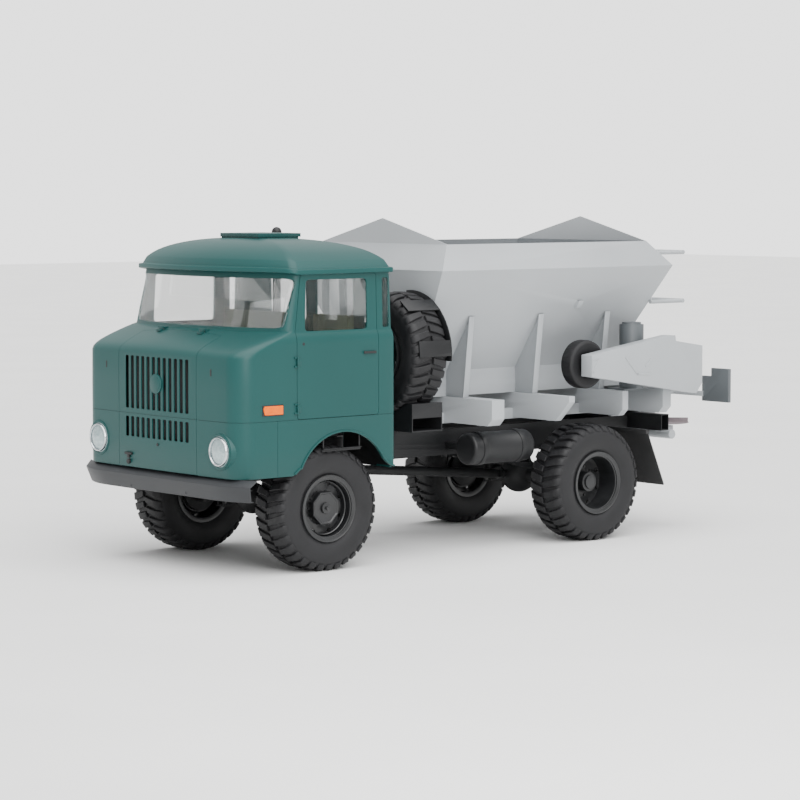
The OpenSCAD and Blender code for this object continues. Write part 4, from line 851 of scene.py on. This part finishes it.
for y in (-0.15, 0.15):
    for end in (-1, 1):
        middle = y + end * 0.0375
        hatch_ears.append(barrel(0.009, middle - 0.007, middle + 0.007,
            (hatch_low.x - 0.012, 0, crown + 0.026), "y"))
        hatch_ears.append(block((hatch_low.x - 0.020 - front_x, middle - 0.007, crown - 0.040),
            (hatch_low.x - 0.010 - front_x, middle + 0.007, crown + 0.026), 0.001))
fitted(joined(hatch_ears), "hatch_hinge_ears", cab_enamel, "vehicle")
eased("roof_hatch", cab_enamel, 0.003)


# ---------- Glazing ----------
# Toughened glass set in rubber: a windscreen wrapped round both corners, flat panes at sides and back.


def clear_glass(name, tint, dust):
    """Soda-lime glass. Dust that dries on it gives a thin pale film."""
    made, tree = new_finish(name)
    film = add(tree, "TexNoise", {"Scale": 4.0, "Detail": 4},
        {"Vector": add(tree, "TexCoord").outputs["Object"]})
    rough = add(tree, "MapRange", {"From Min": 0.35, "From Max": 0.7, "To Min": 0.02,
        "To Max": 0.02 + dust}, {"Value": film.outputs["Fac"]})
    surface = add(tree, "BsdfPrincipled",
                  {"Base Color": linear(tint), "IOR": 1.45, "Transmission Weight": 1.0, "Alpha": 0.25},
                  {"Roughness": rough.outputs["Result"]})
    add(tree, "OutputMaterial", links={"Surface": surface.outputs["BSDF"]})
    return made


window_glass = clear_glass("window_glass", "#eef4f3", 0.05)

glass_skin = loft([cab_ring(*level, grow=-0.008) for level in glazed_levels[:1] + glazed_levels[1:]],
    cap_start=False, cap_end=False)
shaped(glass_skin, "SOLIDIFY", thickness=0.006, offset=-1, use_even_offset=True)
outward(glass_skin)


def shrunk(corners, by):
    """An outline pulled in towards its middle on every side."""
    mid_x = sum(c[0] for c in corners) / len(corners)
    mid_z = sum(c[1] for c in corners) / len(corners)
    return [(c[0] + (by if c[0] < mid_x else -by), c[1] + (by if c[1] < mid_z else -by)) + tuple(c[2:])
        for c in corners]


screen = [(front_x + c[0],) + tuple(c[1:]) for c in shrunk(screen_outline, 0.0003)]
windscreen = cut(twin(glass_skin), prism(rounded(screen, 0.045), "y", -1.4, 1.4), "INTERSECT")
fitted(windscreen, "windscreen_glass", window_glass, "vehicle", 34, ["windscreen"])
pane = cut(twin(glass_skin), side_cut(shrunk(door_window, 0.0003), 0.04, 0.9), "INTERSECT")
other_pane = mirrored(pane)
fitted(pane, "door_pane_left", window_glass, "door_left_body", 34, ["door_glass_left"])
fitted(other_pane, "door_pane_right", window_glass, "door_right_body", 34,
    ["door_glass_right"])
panes = []
for side in (1, -1):
    tool = side_cut(shrunk(quarter_window, 0.0003), 0.02, 0.9)
    panes.append(cut(twin(glass_skin), tool if side > 0 else other_side(tool), "INTERSECT"))
    rear_outline = rounded(shrunk([(side * 0.07, 2.090), (side * 0.60, 2.090), (side * 0.60, 2.480),
        (side * 0.07, 2.480)], 0.0003), 0.04)
    panes.append(cut(twin(glass_skin), prism(rear_outline, "x", front_x - 0.80, front_x - 0.60), "INTERSECT"))
fitted(joined(panes), "rear_panes", window_glass, "vehicle", 34, ["rear_windows"])
bpy.data.objects.remove(glass_skin)


# ---------- Cab interior ----------
# A painted steel floor, a dark moulded dashboard, a thin-rimmed wheel and two sprung seats.

# Moulded plastic: grained ABS, matt and almost black.
moulded_plastic = grained("moulded_plastic", "#1d1e1f", "#262729", 0.1, (0.5, 0.62), bump=0.25, grain=0.004)
# Wheel rim: polished black phenolic.
phenolic = grained("phenolic", "#121214", "#19191b", 0.1, (0.22, 0.3), bump=0.02, grain=0.006)
# Seat vinyl: PVC-coated cotton in olive, with a leather-like emboss drawn coarse enough to show.
seat_vinyl = grained("seat_vinyl", "#4a5235", "#5a6242", 0.25, (0.42, 0.55), bump=0.3, grain=0.006)

eased("cab_floor", underbody_paint, 0.003)
eased("dashboard", moulded_plastic, 0.012)
eased("steering_wheel", phenolic, 0.002)

seat_floor = 1.225


def cushion(low, high, crown_height, name, face="z"):
    """A stuffed block: crowned on its show face, pulled in between its corners, with its edges rounded."""
    piece = box_tool((low[0] - front_x, low[1], low[2]), (high[0] - front_x, high[1], high[2]))
    only(piece)
    bpy.ops.object.mode_set(mode="EDIT")
    bpy.ops.mesh.select_all(action="SELECT")
    bpy.ops.mesh.subdivide(number_cuts=9)
    bpy.ops.object.mode_set(mode="OBJECT")
    middle = [(a + b) / 2 for a, b in zip(low, high)]
    half = [(b - a) / 2 for a, b in zip(low, high)]
    across, along = (0, 1) if face == "z" else (2, 1)
    out = 2 if face == "z" else 0
    for vertex in piece.data.vertices:
        u = (vertex.co[across] - middle[across]) / half[across]
        v = (vertex.co[along] - middle[along]) / half[along]
        w = (vertex.co[out] - middle[out]) / half[out]
        vertex.co[out] += crown_height * ((1 - u ** 4) * (1 - v ** 4) - 0.8) * max(w, 0)
        squeeze = 1 - 0.03 * (1 - w * w)
        vertex.co[across] = middle[across] + half[across] * u * squeeze * (1 - 0.015 * (1 - v * v))
        vertex.co[along] = middle[along] + half[along] * v * squeeze * (1 - 0.015 * (1 - u * u))
    shaped(piece, "BEVEL", width=0.022, segments=3, limit_method="ANGLE", angle_limit=radians(50))
    shaped(piece, "SUBSURF", levels=1, render_levels=1)
    fitted(piece, name, seat_vinyl, "vehicle", 60)
    return piece


for node, words in (("driver_seat", "driver"), ("passenger_bench", "passenger")):
    seat_low, seat_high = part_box(node)
    base = cushion((front_x - 0.455, seat_low.y, seat_floor + 0.20),
        (front_x + 0.095, seat_high.y, seat_floor + 0.345), 0.03, words + "_seat_cushion")
    back = cushion((front_x - 0.545, seat_low.y, seat_floor + 0.34),
        (front_x - 0.45, seat_high.y, seat_floor + 0.94), 0.03, words + "_seat_back", "x")
    frame_box = block((-0.42, seat_low.y + 0.04, seat_floor), (0.0, seat_high.y - 0.04, seat_floor + 0.205),
        0.006)
    spine = block((-0.55, seat_low.y + 0.03, seat_floor + 0.20),
        (-0.54, seat_high.y - 0.03, seat_floor + 0.90), 0.003)
    fitted(joined([frame_box, spine]), words + "_seat_frame", moulded_plastic, "vehicle")
    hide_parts(node)


# ---------- Lamps ----------
# Sealed headlamps in deep enamelled bowls with plated rims, and amber indicators on the cab's flanks.

# Chrome: bright plate on the lamp rims.
lamp_chrome = grained("lamp_chrome", "#b9bdc0", "#cfd3d6", 0.05, (0.1, 0.18), metallic=1.0)
# Lamp glass: fluted, over a silvered reflector, so it reads as a pale mirror.
lamp_glass = grained("lamp_glass", "#93a8ab", "#b4c4c6", 0.03, (0.12, 0.22), bump=0.35, grain=0.012,
    metallic=0.55, coat=0.6)
# Amber lens: clear-cast acrylic over a bulb, with ribs.
amber_lens = grained("amber_lens", "#f06400", "#f97000", 0.03, (0.3, 0.4), bump=0.2, grain=0.008,
    shader={"Specular IOR Level": 0.15})

eased("headlamp_bowls", cab_enamel, 0.002)
eased("headlamp_lenses", lamp_glass, 0.002)
eased("side_indicators", amber_lens, 0.003)
lamp_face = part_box("headlamp_bowls")[1].x
for side, side_name in ((1, "left"), (-1, "right")):
    lamp_place = (lamp_face, side * lamp_y, lamp_z)
    fairing = turned([(0.1505, -0.006), (0.157, -0.008), (0.164, -0.022), (0.178, -0.060), (0.192, -0.110),
                      (0.196, -0.150),
                      (0.1505, -0.150)], 72)
    fitted(placed(fairing, lamp_place, (0, 0, -pi / 2)),
           "headlamp_fairing_" + side_name, cab_enamel, "vehicle",
           40)
    rim = turned([(0.107, 0.0), (0.108, 0.014), (0.113, 0.020), (0.120, 0.019), (0.126, 0.008),
        (0.126, -0.003)], 72)
    dome = turned([(0.0005, 0.034), (0.030, 0.032), (0.060, 0.026), (0.088, 0.016), (0.1085, 0.003),
        (0.1085, -0.003), (0.0005, -0.003)], 72)
    fitted(placed(dome, lamp_place, (0, 0, -pi / 2)), "headlamp_dome_" + side_name,
        lamp_glass, "vehicle", 50)
    fitted(placed(rim, lamp_place, (0, 0, -pi / 2)), "headlamp_rim_" + side_name,
        lamp_chrome, "vehicle")
    base = block((0.536, min(side * 1.1385, side * 1.1435), 1.372),
        (0.757, max(side * 1.1385, side * 1.1435), 1.463), 0.002)
    fitted(base, "indicator_base_" + side_name, trim_rubber, "vehicle")


# ---------- Wheel arches ----------
# The cab's skirt is undersealed in black on its inside, each arch has a rolled lip, and a folded step plate
# hangs in each opening on two straps.

underseal = loft([cab_ring(z, nose_x - 0.001, 0.022, 0.19, 1.1395, -0.7, grow=-skin - 0.0005)
    for z in (0.853, 1.0, 1.205)],
                 cap_start=False, cap_end=False)
shaped(underseal, "SOLIDIFY", thickness=0.002, offset=-1)
outward(underseal)
cut(underseal, box_tool((0.70, -flap_half - 0.01, 0.8), (1.2, flap_half + 0.01, 1.3)))
cut(underseal, box_tool((-0.76, -0.45, 0.8), (-0.60, 0.45, 1.125)))
cut(underseal, side_cut(arch, 0, 0.9))
cut(underseal, other_side(side_cut(arch, 0, 0.9)))
for side in (1, -1):
    cut(underseal, barrel(lamp_r + 0.002, front_x + 0.6, front_x + 1.2, (0, side * lamp_y, lamp_z), "x"))
fitted(underseal, "cab_underseal", underbody_paint, "vehicle", 34)

for side, side_name in ((1, "left"), (-1, "right")):
    lip_path = [(x, z) for x, z, *_ in arch[2:-2]]
    rings = []
    for i, (x, z) in enumerate(lip_path):
        x0, z0 = lip_path[max(i - 1, 0)]
        x1, z1 = lip_path[min(i + 1, len(lip_path) - 1)]
        length = hypot(x1 - x0, z1 - z0)
        nx, nz = (z1 - z0) / length, -(x1 - x0) / length
        rings.append([(front_x + x + nx * a, side * y, z + nz * a) for a, y in
                      ((-0.003, 1.118), (-0.003, 1.147), (0.004, 1.149), (0.012, 1.147), (0.014, 1.141),
                       (0.006, 1.118))])
    fitted(loft(rings), "arch_lip_" + side_name, cab_enamel, "vehicle", 40)
    low_y, high_y = sorted((side * 1.102, side * 1.134))
    strap_low, strap_high = sorted((side * 1.1125, side * 1.1175))
    step = [block((-0.320, low_y, 1.052), (0.100, high_y, 1.060), 0.0015),
            block((-0.320, strap_low, 1.034), (0.100, strap_high, 1.056), 0.001),
            block((0.080, strap_low, 1.050), (0.094, strap_high, 1.200), 0.001),
            block((-0.314, strap_low, 1.050), (-0.300, strap_high, 1.200), 0.001)]
    fitted(joined(step), "arch_step_" + side_name, chassis_enamel, "vehicle")


# ---------- Subframe and hopper ----------
# Folded sheet on a welded subframe: two longerons, four outriggers, and ribs that prop the sloping sides.

# Body enamel: light grey, sprayed thin over sheet steel; it dulls in broad patches.
body_enamel = grained("body_enamel", "#a5a9ac", "#aeb2b5", 1.1, (0.4, 0.52), bump=0.05, grain=0.010,
    coat=0.08)

for node, width in (("subframe", 0.004), ("hopper", 0.003), ("hopper_ribs", 0.003), ("chain_case", 0.006),
                    ("spinner_drive", 0.004), ("metering_gate", 0.003)):
    eased(node, body_enamel, width)
# Tank enamel: a grey darker than the body's, on the oil tank and on the boards that hang behind.
tank_enamel = grained("tank_enamel", "#54595c", "#5e6366", 0.4, (0.4, 0.52), bump=0.05, grain=0.010)
eased("oil_tank", tank_enamel, 0.004)
chute = eased("drop_chute", body_enamel, 0.003)
chute.data.materials.append(tank_enamel)
# The drop chute's faces more than 0.80 m out from the middle, the hanging boards, take the darker grey.
for face in chute.data.polygons:
    if abs(face.center.y) > 0.80:
        face.material_index = 1

# Swaged ribs stiffen the chain case's cover: a small triangle by the wheel and an angled pair in the middle.
cover_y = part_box("chain_case")[1].y


def swage(corners, width, height):
    """A raised rib along a line of points in X and Z on the chain case's cover."""
    bars = []
    for (x0, z0), (x1, z1) in zip(corners, corners[1:]):
        length = hypot(x1 - x0, z1 - z0)
        bar = box_tool((-length / 2 - width / 2 - front_x, cover_y - 0.002, -width / 2),
            (length / 2 + width / 2 - front_x, cover_y + height, width / 2))
        placed(bar, ((x0 + x1) / 2, 0, (z0 + z1) / 2), (0, -atan2(z1 - z0, x1 - x0), 0))
        bars.append(shaped(bar, "BEVEL", width=height * 0.8, segments=2, limit_method="ANGLE",
            angle_limit=radians(40)))
    return bars


swages = swage([(-1.092, 1.694), (-1.172, 1.702), (-1.099, 1.579), (-1.092, 1.694)], 0.014, 0.005)
swages += swage([(-1.528, 1.695), (-1.677, 1.542), (-1.842, 1.534)], 0.022, 0.007)
swages += swage([(-1.791, 1.610), (-1.857, 1.663)], 0.022, 0.007)
fitted(joined(swages), "chain_case_swages", body_enamel, "chain_case_body", 40)


# ---------- Conveyor, drive wheel and spinners ----------
# A ribbed belt on two drums, driven by a rubber wheel on the road tyre; two vaned discs throw the spread.

# Belt rubber: ply belting, matt black.
belting = grained("belting", "#1c1c1d", "#29292a", 0.3, (0.55, 0.7), bump=0.3, grain=0.006)
# Machined steel: turned drums, oiled.
turned_steel = grained("turned_steel", "#7d8082", "#94979a", 0.02, (0.25, 0.4), metallic=1.0)
# Disc enamel: grey-brown paint scoured by fertiliser.
disc_enamel = grained("disc_enamel", "#6b6064", "#7d7276", 0.12, (0.45, 0.6), bump=0.1, grain=0.006)

eased("conveyor_belt", belting, 0.002)
for node in ("drum_front", "drum_rear"):
    eased(node, turned_steel, 0.002)
eased("friction_wheel", tread_rubber, 0.003)
for node in ("spinner_left", "spinner_right"):
    eased(node, disc_enamel, 0.0015)
